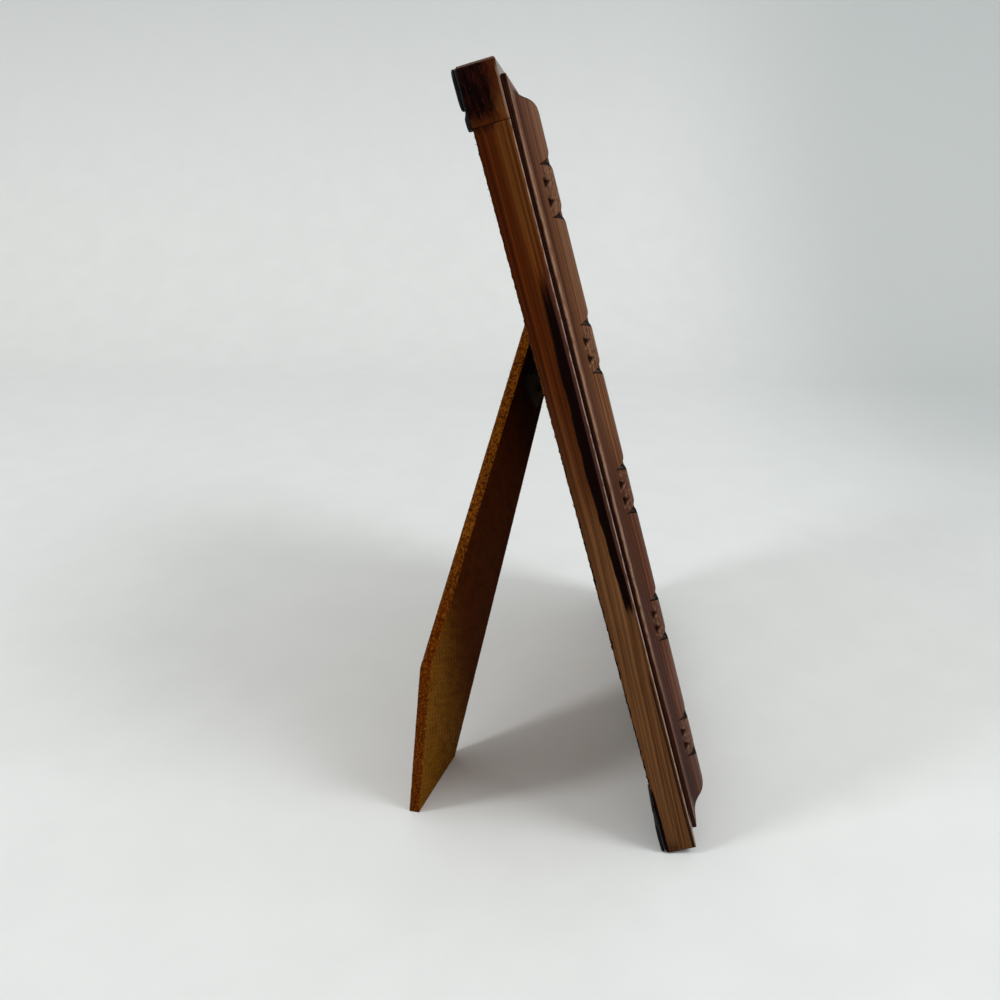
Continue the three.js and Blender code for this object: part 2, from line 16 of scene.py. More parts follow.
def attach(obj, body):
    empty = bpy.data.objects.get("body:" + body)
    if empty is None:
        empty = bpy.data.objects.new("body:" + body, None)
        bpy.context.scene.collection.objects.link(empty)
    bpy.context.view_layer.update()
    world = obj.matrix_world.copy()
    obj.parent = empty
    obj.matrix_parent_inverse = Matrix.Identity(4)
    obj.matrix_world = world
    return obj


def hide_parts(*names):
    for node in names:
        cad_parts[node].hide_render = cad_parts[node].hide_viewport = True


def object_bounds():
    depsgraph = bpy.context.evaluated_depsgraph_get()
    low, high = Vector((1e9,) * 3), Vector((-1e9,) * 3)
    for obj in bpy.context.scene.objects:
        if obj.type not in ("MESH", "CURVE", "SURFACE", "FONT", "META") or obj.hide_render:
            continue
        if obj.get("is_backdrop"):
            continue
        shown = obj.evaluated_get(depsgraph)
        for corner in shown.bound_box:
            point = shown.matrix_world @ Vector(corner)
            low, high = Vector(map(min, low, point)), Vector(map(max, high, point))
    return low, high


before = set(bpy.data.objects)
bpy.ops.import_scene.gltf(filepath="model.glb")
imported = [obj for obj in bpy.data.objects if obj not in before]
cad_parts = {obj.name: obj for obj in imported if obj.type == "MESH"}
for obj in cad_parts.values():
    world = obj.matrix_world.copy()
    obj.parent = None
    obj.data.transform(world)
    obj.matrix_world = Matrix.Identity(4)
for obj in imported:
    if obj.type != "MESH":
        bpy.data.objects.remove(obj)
cad_low, cad_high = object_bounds()

# Sizes in millimetres, as in the CAD model
MM = 0.001
FRAME_HEIGHT = 207
FRAME_WIDTH = 157
RAIL_WIDTH = 12.5
RAIL_THICKNESS = 8.3
SIDE = FRAME_WIDTH / 2
INNER = SIDE - RAIL_WIDTH
TOP_JOINT = FRAME_HEIGHT - RAIL_WIDTH
GLUE_GAP = 0.15
MOULDING_INSET = 3.6
BAND_LENGTH = 11.9
LEG_FACE, LEG_THICKNESS = 1.75, 3
HINGE_MIDDLE = (1, 0.2, 127)
RIVET_ASIDE, RIVET_REACH = 7, 9.5

# Each rail is cut from another part of the same grain. The top rail's starts here.
TOP_RAIL_GRAIN = 80

# Matrices from millimetres inside the leaning frame, its hinge and its leg to metres on the table
LEAN, HINGE_SLANT, LEG_OPENING = (math.radians(angle) for angle in (15.5, 37.7, 27.7))
FRAME_FOOT = (0, -31.2617 * MM, 0.3 * MM)
STANDING = Matrix.Translation(FRAME_FOOT) @ Matrix.Rotation(-LEAN, 4, "X") @ Matrix.Scale(MM, 4)
HINGE = STANDING @ Matrix.Translation(HINGE_MIDDLE) @ Matrix.Rotation(HINGE_SLANT, 4, "Y")
LEG = HINGE @ Matrix.Rotation(LEG_OPENING, 4, "X")
print("frame loaded with", len(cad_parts), "nodes")

# %% [markdown]
# ## Helpers for node trees
# Node trees written in a script get long. A small wrapper lets sums of sockets read as sums:
# each + or * adds one Math node. It serves shader trees and Geometry Nodes trees alike.
# A colour is given as the hex code that an artist picks.


# %% Node helpers
class Value:
    """A number in a node tree."""

    def __init__(self, socket):
        self.socket = socket

    def _math(self, operation, *others):
        node = add(self.socket.id_data, "ShaderNodeMath", (self, *others), operation=operation)
        return Value(node.outputs[0])

    __add__ = __radd__ = partialmethod(_math, "ADD")
    __mul__ = __rmul__ = partialmethod(_math, "MULTIPLY")
    __sub__ = partialmethod(_math, "SUBTRACT")
    __truediv__ = partialmethod(_math, "DIVIDE")
    least = partialmethod(_math, "MINIMUM")
    most = partialmethod(_math, "MAXIMUM")
    size = partialmethod(_math, "ABSOLUTE")
    floor = partialmethod(_math, "FLOOR")
    above = partialmethod(_math, "GREATER_THAN")
    sine = partialmethod(_math, "SINE")

    def __rsub__(self, other):
        return self * -1 + other

    def ramp(self, low, high, to_low=0.0, to_high=1.0, smooth=True):
        """Takes the value from one range to another and holds it at the ends."""
        if low > high:
            low, high, to_low, to_high = high, low, to_high, to_low
        sockets = {"Value": self, "From Min": low, "From Max": high, "To Min": to_low, "To Max": to_high}
        kind = "SMOOTHSTEP" if smooth else "LINEAR"
        node = add(self.socket.id_data, "ShaderNodeMapRange", sockets, interpolation_type=kind)
        return Value(node.outputs["Result"])


def paint(code):
    """A linear colour from a hex code."""
    parts = [int(code[i : i + 2], 16) / 255 for i in (1, 3, 5)]
    return (*[p / 12.92 if p <= 0.04045 else ((p + 0.055) / 1.055) ** 2.4 for p in parts], 1)


def fill(socket, value):
    """Links a socket to a value from the same tree, or sets it to a constant or to a hex code's colour."""
    if isinstance(value, Value):
        value = value.socket
    if isinstance(value, bpy.types.NodeSocket):
        socket.id_data.links.new(value, socket)
    else:
        socket.default_value = paint(value) if isinstance(value, str) and value.startswith("#") else value


def add(tree, kind, inputs=(), **settings):
    """Adds a node. Its inputs are a list in order or a dict by name."""
    node = tree.nodes.new(kind)
    for key, value in settings.items():
        setattr(node, key, value)
    pairs = inputs.items() if isinstance(inputs, dict) else enumerate(inputs)
    for key, value in pairs:
        fill(node.inputs[key], value)
    return node


print("ready: Value, paint, fill, add")


# %% Vectors, noise and colours
def split(vector):
    node = add(vector.id_data, "ShaderNodeSeparateXYZ", (vector,))
    return [Value(socket) for socket in node.outputs]


def joined(x, y, z):
    """A vector of three parts, of which at least one is a Value."""
    tree = next(part.socket.id_data for part in (x, y, z) if isinstance(part, Value))
    return add(tree, "ShaderNodeCombineXYZ", (x, y, z)).outputs[0]


def stretched(vector, x, y, z):
    """A vector with each of its parts made longer or shorter."""
    return add(vector.id_data, "ShaderNodeVectorMath", (vector, (x, y, z)), operation="MULTIPLY").outputs[0]


def cloud(vector, scale=1.0, detail=3.0, rough=0.55, twist=0.0):
    """A noise value about 0.5."""
    inputs = {"Vector": vector, "Scale": scale, "Detail": detail, "Roughness": rough, "Distortion": twist}
    return Value(add(vector.id_data, "ShaderNodeTexNoise", inputs).outputs["Fac"])


def mix(tree, share, first, second):
    """A colour between two others."""
    node = add(tree, "ShaderNodeMix", data_type="RGBA")
    for number, given in ((0, share), (6, first), (7, second)):
        fill(node.inputs[number], given)
    return node.outputs[2]


def layered(tree, tone, *coats):
    """A colour under coats of other colours, each given as its share and its colour."""
    for share, colour in coats:
        tone = mix(tree, share, tone, colour)
    return tone


print("ready: split, joined, stretched, cloud, mix, layered")


# %% Groups and materials
def new_group(name, kind, inputs):
    """An empty node group and its inputs, each named with its default value or else with its kind."""
    tree = bpy.data.node_groups.new(name, kind)
    for label, default in inputs.items():
        bare = isinstance(default, str)
        socket_type = "NodeSocket" + (default if bare else type(default).__name__.capitalize())
        socket = tree.interface.new_socket(label, in_out="INPUT", socket_type=socket_type)
        if not bare:
            socket.default_value = default
    start = tree.nodes.new("NodeGroupInput")
    return tree, {socket.name: socket for socket in start.outputs if socket.name}


def give(tree, kind="Float", **results):
    """Closes a node group with its named results."""
    for name in results:
        tree.interface.new_socket(name, in_out="OUTPUT", socket_type="NodeSocket" + kind)
    end = tree.nodes.new("NodeGroupOutput")
    for name, value in results.items():
        fill(end.inputs[name], value)
    return tree


def use(tree, group, **inputs):
    """Adds a node group and gives its outputs by name."""
    node = add(tree, "ShaderNodeGroup", inputs, node_tree=group)
    return {socket.name: Value(socket) for socket in node.outputs}


def blank(name):
    """A new material and its tree."""
    material = bpy.data.materials.new(name)
    material.use_nodes = True
    return material, material.node_tree


def dressed(material, tone, roughness, specular, height=None, depth=0.0, more=None):
    """Fills a material's Principled node. A height gives it small relief, with its depth in millimetres."""
    tree = material.node_tree
    surface = tree.nodes["Principled BSDF"]
    inputs = {"Base Color": tone, "Roughness": roughness, "Specular IOR Level": specular, **(more or {})}
    if height is not None:
        relief = {"Strength": 1.0, "Distance": depth * MM, "Height": height}
        inputs["Normal"] = add(tree, "ShaderNodeBump", relief).outputs["Normal"]
    for key, value in inputs.items():
        fill(surface.inputs[key], value)
    return material


def fact(tree, name):
    """A number that was painted on the points of a piece."""
    return Value(add(tree, "ShaderNodeAttribute", attribute_name=name).outputs["Fac"])


def painted_place(tree, name="grain"):
    """A vector that was painted on the points of a piece."""
    return add(tree, "ShaderNodeAttribute", attribute_name=name).outputs["Vector"]


def object_place(tree):
    return add(tree, "ShaderNodeTexCoord").outputs["Object"]


print("ready: new_group, give, use, blank, dressed, fact, painted_place, object_place")

# %% [markdown]
# ## Helpers for pieces
# A piece is points and faces in millimetres, moved by a matrix to its place in metres.
# Numbers painted on its points, such as how rubbed an edge is, travel with the mesh as attributes.
# The materials read them later.


# %% Mesh helpers
def settle(obj, body, nodes, materials, sharp=35):
    """Finishes a piece: materials, smooth faces with sharp edges, and its place in the frame."""
    if not obj.users_collection:
        bpy.context.scene.collection.objects.link(obj)
    numbers = [face.material_index for face in obj.data.polygons]
    obj.data.materials.clear()
    for material in materials:
        obj.data.materials.append(material)
    obj.data.polygons.foreach_set("material_index", numbers)
    obj.data.polygons.foreach_set("use_smooth", [True] * len(obj.data.polygons))
    obj.data.set_sharp_from_angle(angle=math.radians(sharp))
    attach(obj, body)
    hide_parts(*nodes)
    print(obj.name, "has", len(obj.data.polygons), "faces")
    return obj


def mesh_of(name, points, faces, facts=None, slots=None):
    """A mesh with attributes on its points and a material number for each face."""
    mesh = bpy.data.meshes.new(name)
    mesh.from_pydata([tuple(p) for p in points], [], faces)
    for key, values in (facts or {}).items():
        values = np.asarray(values, dtype=np.float32)
        kind, field = ("FLOAT", "value") if values.ndim == 1 else ("FLOAT_VECTOR", "vector")
        mesh.attributes.new(key, kind, "POINT").data.foreach_set(field, values.ravel())
    if slots is not None:
        mesh.polygons.foreach_set("material_index", slots)
    return mesh


def placed(mesh, matrix):
    """Moves a mesh to its place, lifts points that would sink into the table, and turns all faces outward."""
    mesh.transform(matrix)
    for vertex in mesh.vertices:
        vertex.co.z = max(vertex.co.z, 0)
    work = bmesh.new()
    work.from_mesh(mesh)
    bmesh.ops.recalc_face_normals(work, faces=work.faces)
    work.to_mesh(mesh)
    work.free()
    return mesh


print("ready: settle, mesh_of, placed")


# %% Shape helpers
def skin(rows, count):
    """Faces over rows of points that each close on themselves, with a face over each end."""
    faces = []
    for row in range(rows - 1):
        for i in range(count):
            a, b = row * count + i, row * count + (i + 1) % count
            faces.append((a, b, b + count, a + count))
    last = (rows - 1) * count
    return faces + [tuple(range(count))[::-1], tuple(range(last, last + count))]


def rounded_loop(corners, step, arc_steps=5):
    """Rows of u, v and how many corners are turned, round a rectangle with corners (u, v, radius)."""
    loop = []
    for i, (u, v, radius) in enumerate(corners):
        here = np.array((u, v), float)
        before, after = (np.array(corners[j % len(corners)][:2], float) for j in (i - 1, i + 1))
        back, on = ((p - here) / np.linalg.norm(p - here) for p in (before, after))
        centre = here + (back + on) * radius
        for turn in np.linspace(0, math.pi / 2, arc_steps + 1):
            p = centre - on * radius * math.cos(turn) - back * radius * math.sin(turn)
            loop.append((*p, i + turn / math.pi * 2))
        start = here + on * radius
        end = after - on * corners[(i + 1) % len(corners)][2]
        pieces = max(1, int(np.linalg.norm(end - start) / step))
        for k in range(1, pieces):
            loop.append((*(start + (end - start) * k / pieces), i + 1))
    return np.array(loop)


def sides_of(corners):
    """Each side of a flat outline: its start, its end and the way out of the outline."""
    middle = np.mean(corners, axis=0)
    for i, start in enumerate(corners):
        start, end = np.array(start), np.array(corners[(i + 1) % len(corners)])
        way = (end - start) / np.linalg.norm(end - start)
        out = np.array((way[1], -way[0]))
        yield start, end, out if np.dot(out, (start + end) / 2 - middle) > 0 else -out


def smooth(low, high, value):
    share = min(1, max(0, (value - low) / (high - low)))
    return share * share * (3 - 2 * share)


def rough(point, size, octaves=3):
    """Noise between about -1 and 1 at a point, with bumps of about that size."""
    return noise.fractal(Vector(point) / size, 1.0, 2.0, octaves)


print("ready: skin, rounded_loop, sides_of, smooth, rough")

# %% [markdown]
# ## Camera
# The photo is taken close, from the frame's left and a little above its middle,
# so near edges look much longer than far ones.
# The lens covers as wide an angle as the photo does, and there is no blur.

# %% Camera
CAMERA_PLACE = (-0.303408, 0.007347, 0.18951)
yaw, pitch = math.radians(1.908), math.radians(20.805)
forward = Vector((math.cos(yaw) * math.cos(pitch), math.sin(yaw) * math.cos(pitch), -math.sin(pitch)))
right = Vector((math.sin(yaw), -math.cos(yaw), 0))
turned = Matrix((right, right.cross(forward), -forward)).transposed()
camera = bpy.data.objects.new("camera", bpy.data.cameras.new("camera"))
camera.data.sensor_width = 36
camera.data.lens = 36
camera.data.clip_start = 0.01
camera.matrix_world = Matrix.Translation(CAMERA_PLACE) @ turned.to_4x4()
bpy.context.scene.collection.objects.link(camera)
bpy.context.scene.camera = camera
bpy.context.scene.view_settings.view_transform = "Standard"
print("camera placed")

# %% [markdown]
# ## Table, backdrop and light
# A pale sheet runs along the table and curves up behind the frame, as in a small photo booth.
# The sheet's colour is painted darker up the sheet and at the far right, as painted shade where less light
# falls.
# Two broad lamps stand behind the camera, one on each side,
# so soft shadows fall to the back left and to the back right.
# An even grey sky fills the rest.


# %% Table and backdrop
def backdrop():
    reach, bend, wall, half_width = 0.46, 0.3, 1.7, 4.0
    turn = np.linspace(0, math.pi / 2, 25)
    track = [(-half_width, 0.0)] + [(reach + bend * math.sin(t), bend * (1 - math.cos(t))) for t in turn]
    track.append((reach + bend, wall))
    points = [(x, y, z) for x, z in track for y in (-half_width, half_width)]
    faces = [(2 * i, 2 * i + 2, 2 * i + 3, 2 * i + 1) for i in range(len(track) - 1)]
    mesh = mesh_of("backdrop", points, faces)
    mesh.polygons.foreach_set("use_smooth", [True] * len(mesh.polygons))
    obj = bpy.data.objects.new("backdrop", mesh)
    bpy.context.scene.collection.objects.link(obj)
    material, tree = blank("backdrop_paper")
    place = object_place(tree)
    far, wide, height = split(place)
    speck = cloud(place, 40, 3)
    # Painted shade: the sheet is darker up the wall and at the far right.
    far_right_shade = far.ramp(0.0, 0.35) * wide.ramp(-0.08, -0.32)
    tone = mix(tree, speck.ramp(0.35, 0.65), "#e6e7e5", "#e8e9e7")
    tone = layered(tree, tone, (height.ramp(0.0, 0.5), "#cacdcc"), (far_right_shade * 0.8, "#c3c8c7"))
    mesh.materials.append(dressed(material, tone, speck.ramp(0.3, 0.7, 0.55, 0.7), 0.2))
    obj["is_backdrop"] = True


backdrop()
print("table and backdrop placed")


# %% Light
def lamp(name, place, power, width):
    light = bpy.data.lights.new(name, "AREA")
    light.shape, light.size, light.energy = "DISK", width, power
    light.color = (0.93, 0.975, 1.0)
    obj = bpy.data.objects.new(name, light)
    aim = Vector((0, 0, 0.05)) - Vector(place)
    obj.matrix_world = Matrix.Translation(place) @ aim.to_track_quat("-Z", "Y").to_matrix().to_4x4()
    bpy.context.scene.collection.objects.link(obj)
    obj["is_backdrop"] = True


lamp("lamp_left", (-0.41, 0.86, 0.885), 4.0, 0.25)
lamp("lamp_right", (-0.42, -0.72, 0.98), 5.4, 0.5)
world = bpy.data.worlds.new("studio")
bpy.context.scene.world = world
world.use_nodes = True
fill(world.node_tree.nodes["Background"].inputs["Color"], "#e4e3e2")
fill(world.node_tree.nodes["Background"].inputs["Strength"], 0.85)
print("light placed")

# %% [markdown]
# ## Shared surface effects
# Wood grain, rubbed edges with their painted highlight and the screen pattern of hardboard are each used by
# several materials.
# They are node groups that give masks and heights only, so that any material can colour them in its own way.
# The grain group reads millimetres: x and y across the wood and z along it.


# %% Grain, rubbing and screen groups
def grain_group():
    sizes = {"Grain": "Vector", "Width": 1.0, "Stretch": 40.0}
    tree, given = new_group("long_grain", "ShaderNodeTree", sizes)
    x, y, z = split(given["Grain"])
    width, stretch = Value(given["Width"]), Value(given["Stretch"])
    sway = (cloud(joined(x * 0.05, y * 0.05, z * 0.012), 1, 2) - 0.5) * 0.9
    across, deep, along = (x + sway) / width, (y + sway) / width, z / width / stretch
    streak = cloud(joined(across, deep, along), 1, 3, 0.6)
    line = cloud(joined(across * 1.7, deep * 1.7, along * 1.6 + 3), 1, 3, 0.6)
    clear = cloud(joined(across * 0.45, deep * 0.45, along * 3 + 7), 1, 2)
    pore = cloud(joined(x * 7, y * 7, z * 0.12), 1, 2, 0.5)
    slow = cloud(joined(x * 0.1, y * 0.1, z * 0.016), 1, 2)
    return give(
        tree,
        Streak=streak.ramp(0.3, 0.7, smooth=False),
        Line=line.ramp(0.44, 0.64) * clear.ramp(0.36, 0.6, 0.25, 1.0),
        Pore=pore.ramp(0.6, 0.72),
        Slow=slow.ramp(0.3, 0.7),
    )


def rub_group():
    tree, given = new_group("rubbed_edge_and_highlight", "ShaderNodeTree", {"Amount": 0.0, "Place": "Vector"})
    # The mask lightens rubbed edges: partly real wear, partly a painted highlight on the edges.
    patchy = cloud(stretched(given["Place"], 1.6, 1.6, 0.35), 1, 3)
    mask = Value(given["Amount"]) * patchy.ramp(0.3, 0.62, 0.45, 1.15)
    return give(tree, Mask=mask.ramp(0.2, 0.85))


def screen_group():
    tree, given = new_group("screen_print", "ShaderNodeTree", {"Place": "Vector", "Pitch": 0.8})
    place, pitch = given["Place"], Value(given["Pitch"])
    x, _, z = split(place)
    wander = (cloud(place, 0.5, 3) - 0.5) * 1.6
    rows = ((z * 0.8 + x * 0.6 + wander) / pitch * math.pi).sine().size()
    lines = ((x * 0.8 - z * 0.6 + wander) / pitch * math.pi).sine().size()
    fibre = cloud(stretched(place, 3.0, 3.0, 2.0), 1, 4, 0.7)
    worn = cloud(stretched(place, 0.12, 0.12, 0.4), 1, 3).ramp(0.4, 0.6, 0.5, 1.0)
    height = (rows * 0.35 + lines * 0.65) * worn * fibre.ramp(0.3, 0.6, 0.5, 1.0)
    return give(tree, Height=height, Fibre=fibre.ramp(0.32, 0.68, smooth=False))


GRAIN, RUB_AND_HIGHLIGHT, SCREEN = grain_group(), rub_group(), screen_group()
print("groups:", GRAIN.name, RUB_AND_HIGHLIGHT.name, SCREEN.name)

# %% [markdown]
# ## Stained pine
# The rear frame is softwood under a brown stain. Streaks run along it, small pores show as dashes,
# the front edge is rubbed light and carries a painted highlight, and on the near side the stain has run into
# one black stripe.
# The stripe, the rubbing with its painted highlight, the dirty rear edge and a painted shadow of the felt and
# bumpers low on the rear edge are painted on the points of the rails.
# A rail's end shows its rings instead: it drank more stain, so it is nearly black, with a thin light rim that
# is partly rubbed and partly painted highlight.


# %% Stained pine
def stained_pine():
    """Reads places in millimetres: across from the outer edge, deep from the back and along the rail."""
    material, tree = blank("stained_pine")
    place = painted_place(tree)
    across, deep, along = split(place)
    drifting = joined(across, deep + along.least(95) * 0.035, along)
    wood = use(tree, GRAIN, Grain=drifting, Width=0.7, Stretch=300.0)
    streak, wander = wood["Streak"], (wood["Slow"] - 0.5) * 30
    lower = (along + wander).ramp(150, 62)
    rear = (deep + (streak - 0.5) * 2).ramp(-4.6, -3.4)
    gold = (deep + (streak - 0.5) * 1.5).ramp(-4.0, -5.2) * (along + wander * 0.3).ramp(160, 174)
    light = mix(tree, lower, mix(tree, rear, "#6b3610", "#552507"), "#785131")
    light = mix(tree, gold * 0.8, light, "#663d17")
    dark = mix(tree, lower, "#2c0d02", "#3a1f0c")
    dark = mix(tree, gold * 0.8, dark, "#42200a")
    rosy = deep.ramp(-6.7, -7.3) * along.ramp(170, 150) * along.ramp(66, 90)
    # Rubbed edges, lightened as wear and as a painted highlight
    edge = use(tree, RUB_AND_HIGHLIGHT, Amount=fact(tree, "wear"), Place=place)["Mask"]
    # Dark stains and dirt, and the painted shadow of the felt and bumpers, come from the points.
    stains_and_shadow = (fact(tree, "stains_and_shadow") + (streak - 0.5) * 0.35).ramp(0.25, 0.75)
    tone = layered(
        tree,
        mix(tree, streak, dark, light),
        (wood["Line"] * 0.75, dark),
        (wood["Pore"] * 0.4, "#2a1006"),
        (rosy * 0.75, "#3d2520"),
        (edge * 0.8, "#a0857a"),
        (stains_and_shadow, "#0c0201"),
    )
    relief = streak * 0.5 - wood["Line"] * 0.5 - wood["Pore"] * 0.4
    coat = {"Coat Weight": fact(tree, "gloss") * 0.6, "Coat Roughness": 0.22}
    return dressed(material, tone, streak * -0.15 + 0.65, 0.02, relief, 0.05, coat)


PINE = stained_pine()
print("material:", PINE.name)


# %% End grain
def end_grain():
    """The rails' ends. The photo shows the top rail's, whose way down from its top edge is the drop."""
    material, tree = blank("pine_end_grain")
    x, y, z = split(painted_place(tree))
    drop = x - TOP_RAIL_GRAIN
    slanted = y + x * 0.12
    rings = cloud(joined(slanted * 0.9, x * 0.16, z * 0.02), 1, 4, 0.6, 0.4)
    fine = cloud(joined(slanted * 3.4, x * 0.5, z * 0.02), 1, 4, 0.6)
    ragged = cloud(joined(y * 1.1, x * 0.35, 3.0), 1, 4, 0.65) - 0.5
    front = (y + ragged * 4).ramp(-4.8, -7.6)
    gold = front * (drop + ragged * 8).ramp(5, 13)
    low = (drop + ragged * 7).ramp(9.5, 12.8)
    # Thin light rims along the front and top edges of the end: partly rubbed, partly a painted highlight.
    front_rim = (y + (fine - 0.5) * 0.6).ramp(-7.8, -8.2) * drop.ramp(0.6, 3)
    top_rim = (drop + (fine - 0.5) * 0.4).size().ramp(0.4, 0.1)
    tone = layered(
        tree,
        mix(tree, rings.ramp(0.4, 0.66), "#050000", "#220803"),
        (fine.ramp(0.56, 0.72) * 0.28, "#4f2a24"),
        (front * 0.75, "#4a200b"),
        (gold * 0.8, "#6c431d"),
        (low * 0.7, "#512409"),
        (fine.ramp(0.48, 0.36) * 0.5, "#120403"),
        ((front_rim * 0.5).most(top_rim * 0.3), "#a08470"),
    )
    return dressed(material, tone, fine.ramp(0.3, 0.7, 0.5, 0.75), 0.02, rings * 0.4 + fine * 0.6, 0.12)


END_GRAIN = end_grain()
print("material:", END_GRAIN.name)

# %% [markdown]
# ## Rear rails
# Each rail is a rectangle with rounded edges, swept along its length in short steps.
# The front outer edge is eased by sanding.
# The rear outer edge is left as it was sawn, so its points are shaken.
# Plain mesh code suits this, because every point is also painted with its grain place, its stains, its rubbed
# highlight and its painted shadow.


# %% One rail
def rail(name, start, length, to_frame, spots, shift):
    """A rail from its own places (in from the outer edge, from the back, along) to the frame's x, y and z."""
    wide, deep, ease = RAIL_WIDTH, RAIL_THICKNESS, 0.12
    loop = rounded_loop([(0, 0, 0.2), (0, -deep, 0.45), (wide, -deep, 0.2), (wide, 0, 0.25)], 0.3)
    ends = [(0, ease), (0.3 * ease, 0.3 * ease), (ease, 0)]
    inner = np.linspace(ease, length - ease, int(length * 1.6))[1:-1]
    rows = ends + [(t, 0) for t in inner] + [(length - t, inset) for t, inset in reversed(ends)]
    half = np.array((wide / 2, deep / 2))
    middle = half * (1, -1)
    facts = {"grain": [], "wear": [], "stains_and_shadow": [], "gloss": []}
    points = []
    for t, inset in rows:
        for u, v, turn in loop:
            p = middle + (np.array((u, v)) - middle) * (1 - inset / half)
            own = Vector((p[0], p[1], t + start))
            from_rear_edge = math.hypot(u, v)
            ragged = max(0.0, 1 - from_rear_edge / 1.1)
            shake = ragged * (0.1 + 0.6 * rough(own + Vector((shift, 0, 0)), 1.2))
            p = p + np.array((1, -1)) * shake * 0.6 + 0.03 * rough(own, 9)
            points.append(to_frame(p[0], p[1], t + start))
            facts["grain"].append((u + shift, v, t + start))
            # The eased front edge is rubbed light, partly wear and partly a painted highlight.
            eased = 1 - min(1, abs(turn - 1.55) / 0.5) if 1 <= turn <= 2 else 0
            facts["wear"].append(0 if inset else eased)
            dirty = smooth(0.6, 0.15, from_rear_edge) * (0.75 + 0.9 * rough(own, 3))
            dirty *= (0.5 + 0.5 * smooth(140, 95, own.z)) * smooth(12, 22, own.z)
            facts["stains_and_shadow"].append(max(dirty, spots(u, v, t + start)))
            facts["gloss"].append(smooth(-deep + 0.4, -deep + 0.05, v))
    faces = skin(len(rows), len(loop))
    eased_faces = (len(ends) - 1) * len(loop)
    slots = [1] * eased_faces + [0] * (len(faces) - 2 - 2 * eased_faces) + [1] * (eased_faces + 2)
    obj = bpy.data.objects.new(name, placed(mesh_of(name, points, faces, facts, slots), STANDING))
    return settle(obj, "frame", [name.replace("_wood", "")], [PINE, END_GRAIN])


print("ready: rail")


# %% Stains and four rails
def near_stains(u, v, t):
    """The black stripe of the near rail, thin dark lines below it, dirt at its joint, darkening at its foot,
    and a painted shadow of the felt and bumpers on its rear edge low down.

    In millimetres, v runs from the back (0) to the front (-8.3), and t runs up the rail.
    """
    if u > 1:
        return 0
    rear = -4.8 - 0.95 * smooth(118, 76, t) + 0.3 * rough((0, 0, t), 9)
    soft = 0.3 + 0.8 * smooth(95, 150, t)
    stripe = smooth(rear + soft, rear - soft, v) * smooth(-7.75, -7.0, v + 0.35 * smooth(95, 75, t))
    stripe *= smooth(180, 136, t + 7 * rough((v * 1.2, 0, t * 0.1), 2))
    stripe *= smooth(70, 80, t + 2.5 * rough((v * 1.1, 0, 0), 1))
    line = 0.62 * smooth(0.75, 0.2, abs(v + 7.5)) * smooth(66, 52, t)
    line += 0.3 * smooth(0.4, 0.1, abs(v + 4.2)) * smooth(70, 50, t)
    knot = 0.5 * smooth(2.2, 0.5, math.hypot(v + 2.6, t - 1.0 + 0.5 * rough((v * 3, t * 3, 0), 1)))
    joint = 0.55 * smooth(191, 194.6, t + 2 * rough((v * 1.3, 0, 0), 1)) * smooth(-6.4, -4.4, v)
    foot = 0.5 * smooth(10, 0, t + 2 * rough((v * 1.5, 0, 0), 1)) * smooth(-6.5, -3, v)
    # Painted shadow of the felt and bumpers on the rear edge, below 24 mm.
    bumper_shadow = 0.9 * smooth(24, 19, t + 2 * rough((v, 0, t * 0.3), 2)) * smooth(-1.3, -0.3, v)
    return max(stripe, line, knot, joint, foot, bumper_shadow)


def few_stains(u, v, t):
    """A soft dark run here and there on the other rails."""
    return 0.55 * smooth(0.2, 0.6, rough((u * 4, v * 4, t * 0.35), 18, 2))


def on_top(u, v, t):
    return (t, v, FRAME_HEIGHT - u)


side_length, bottom_start = TOP_JOINT - 0.02, GLUE_GAP - INNER
rail("rear_rail_left_wood", 0, side_length, lambda u, v, t: (u - SIDE, v, t), near_stains, 0)
rail("rear_rail_right_wood", 0, side_length, lambda u, v, t: (SIDE - u, v, t), few_stains, 40)
rail("rear_rail_top_wood", -SIDE, FRAME_WIDTH, on_top, few_stains, TOP_RAIL_GRAIN)
rail("rear_rail_bottom_wood", bottom_start, -2 * bottom_start, lambda u, v, t: (t, v, u), few_stains, 120)
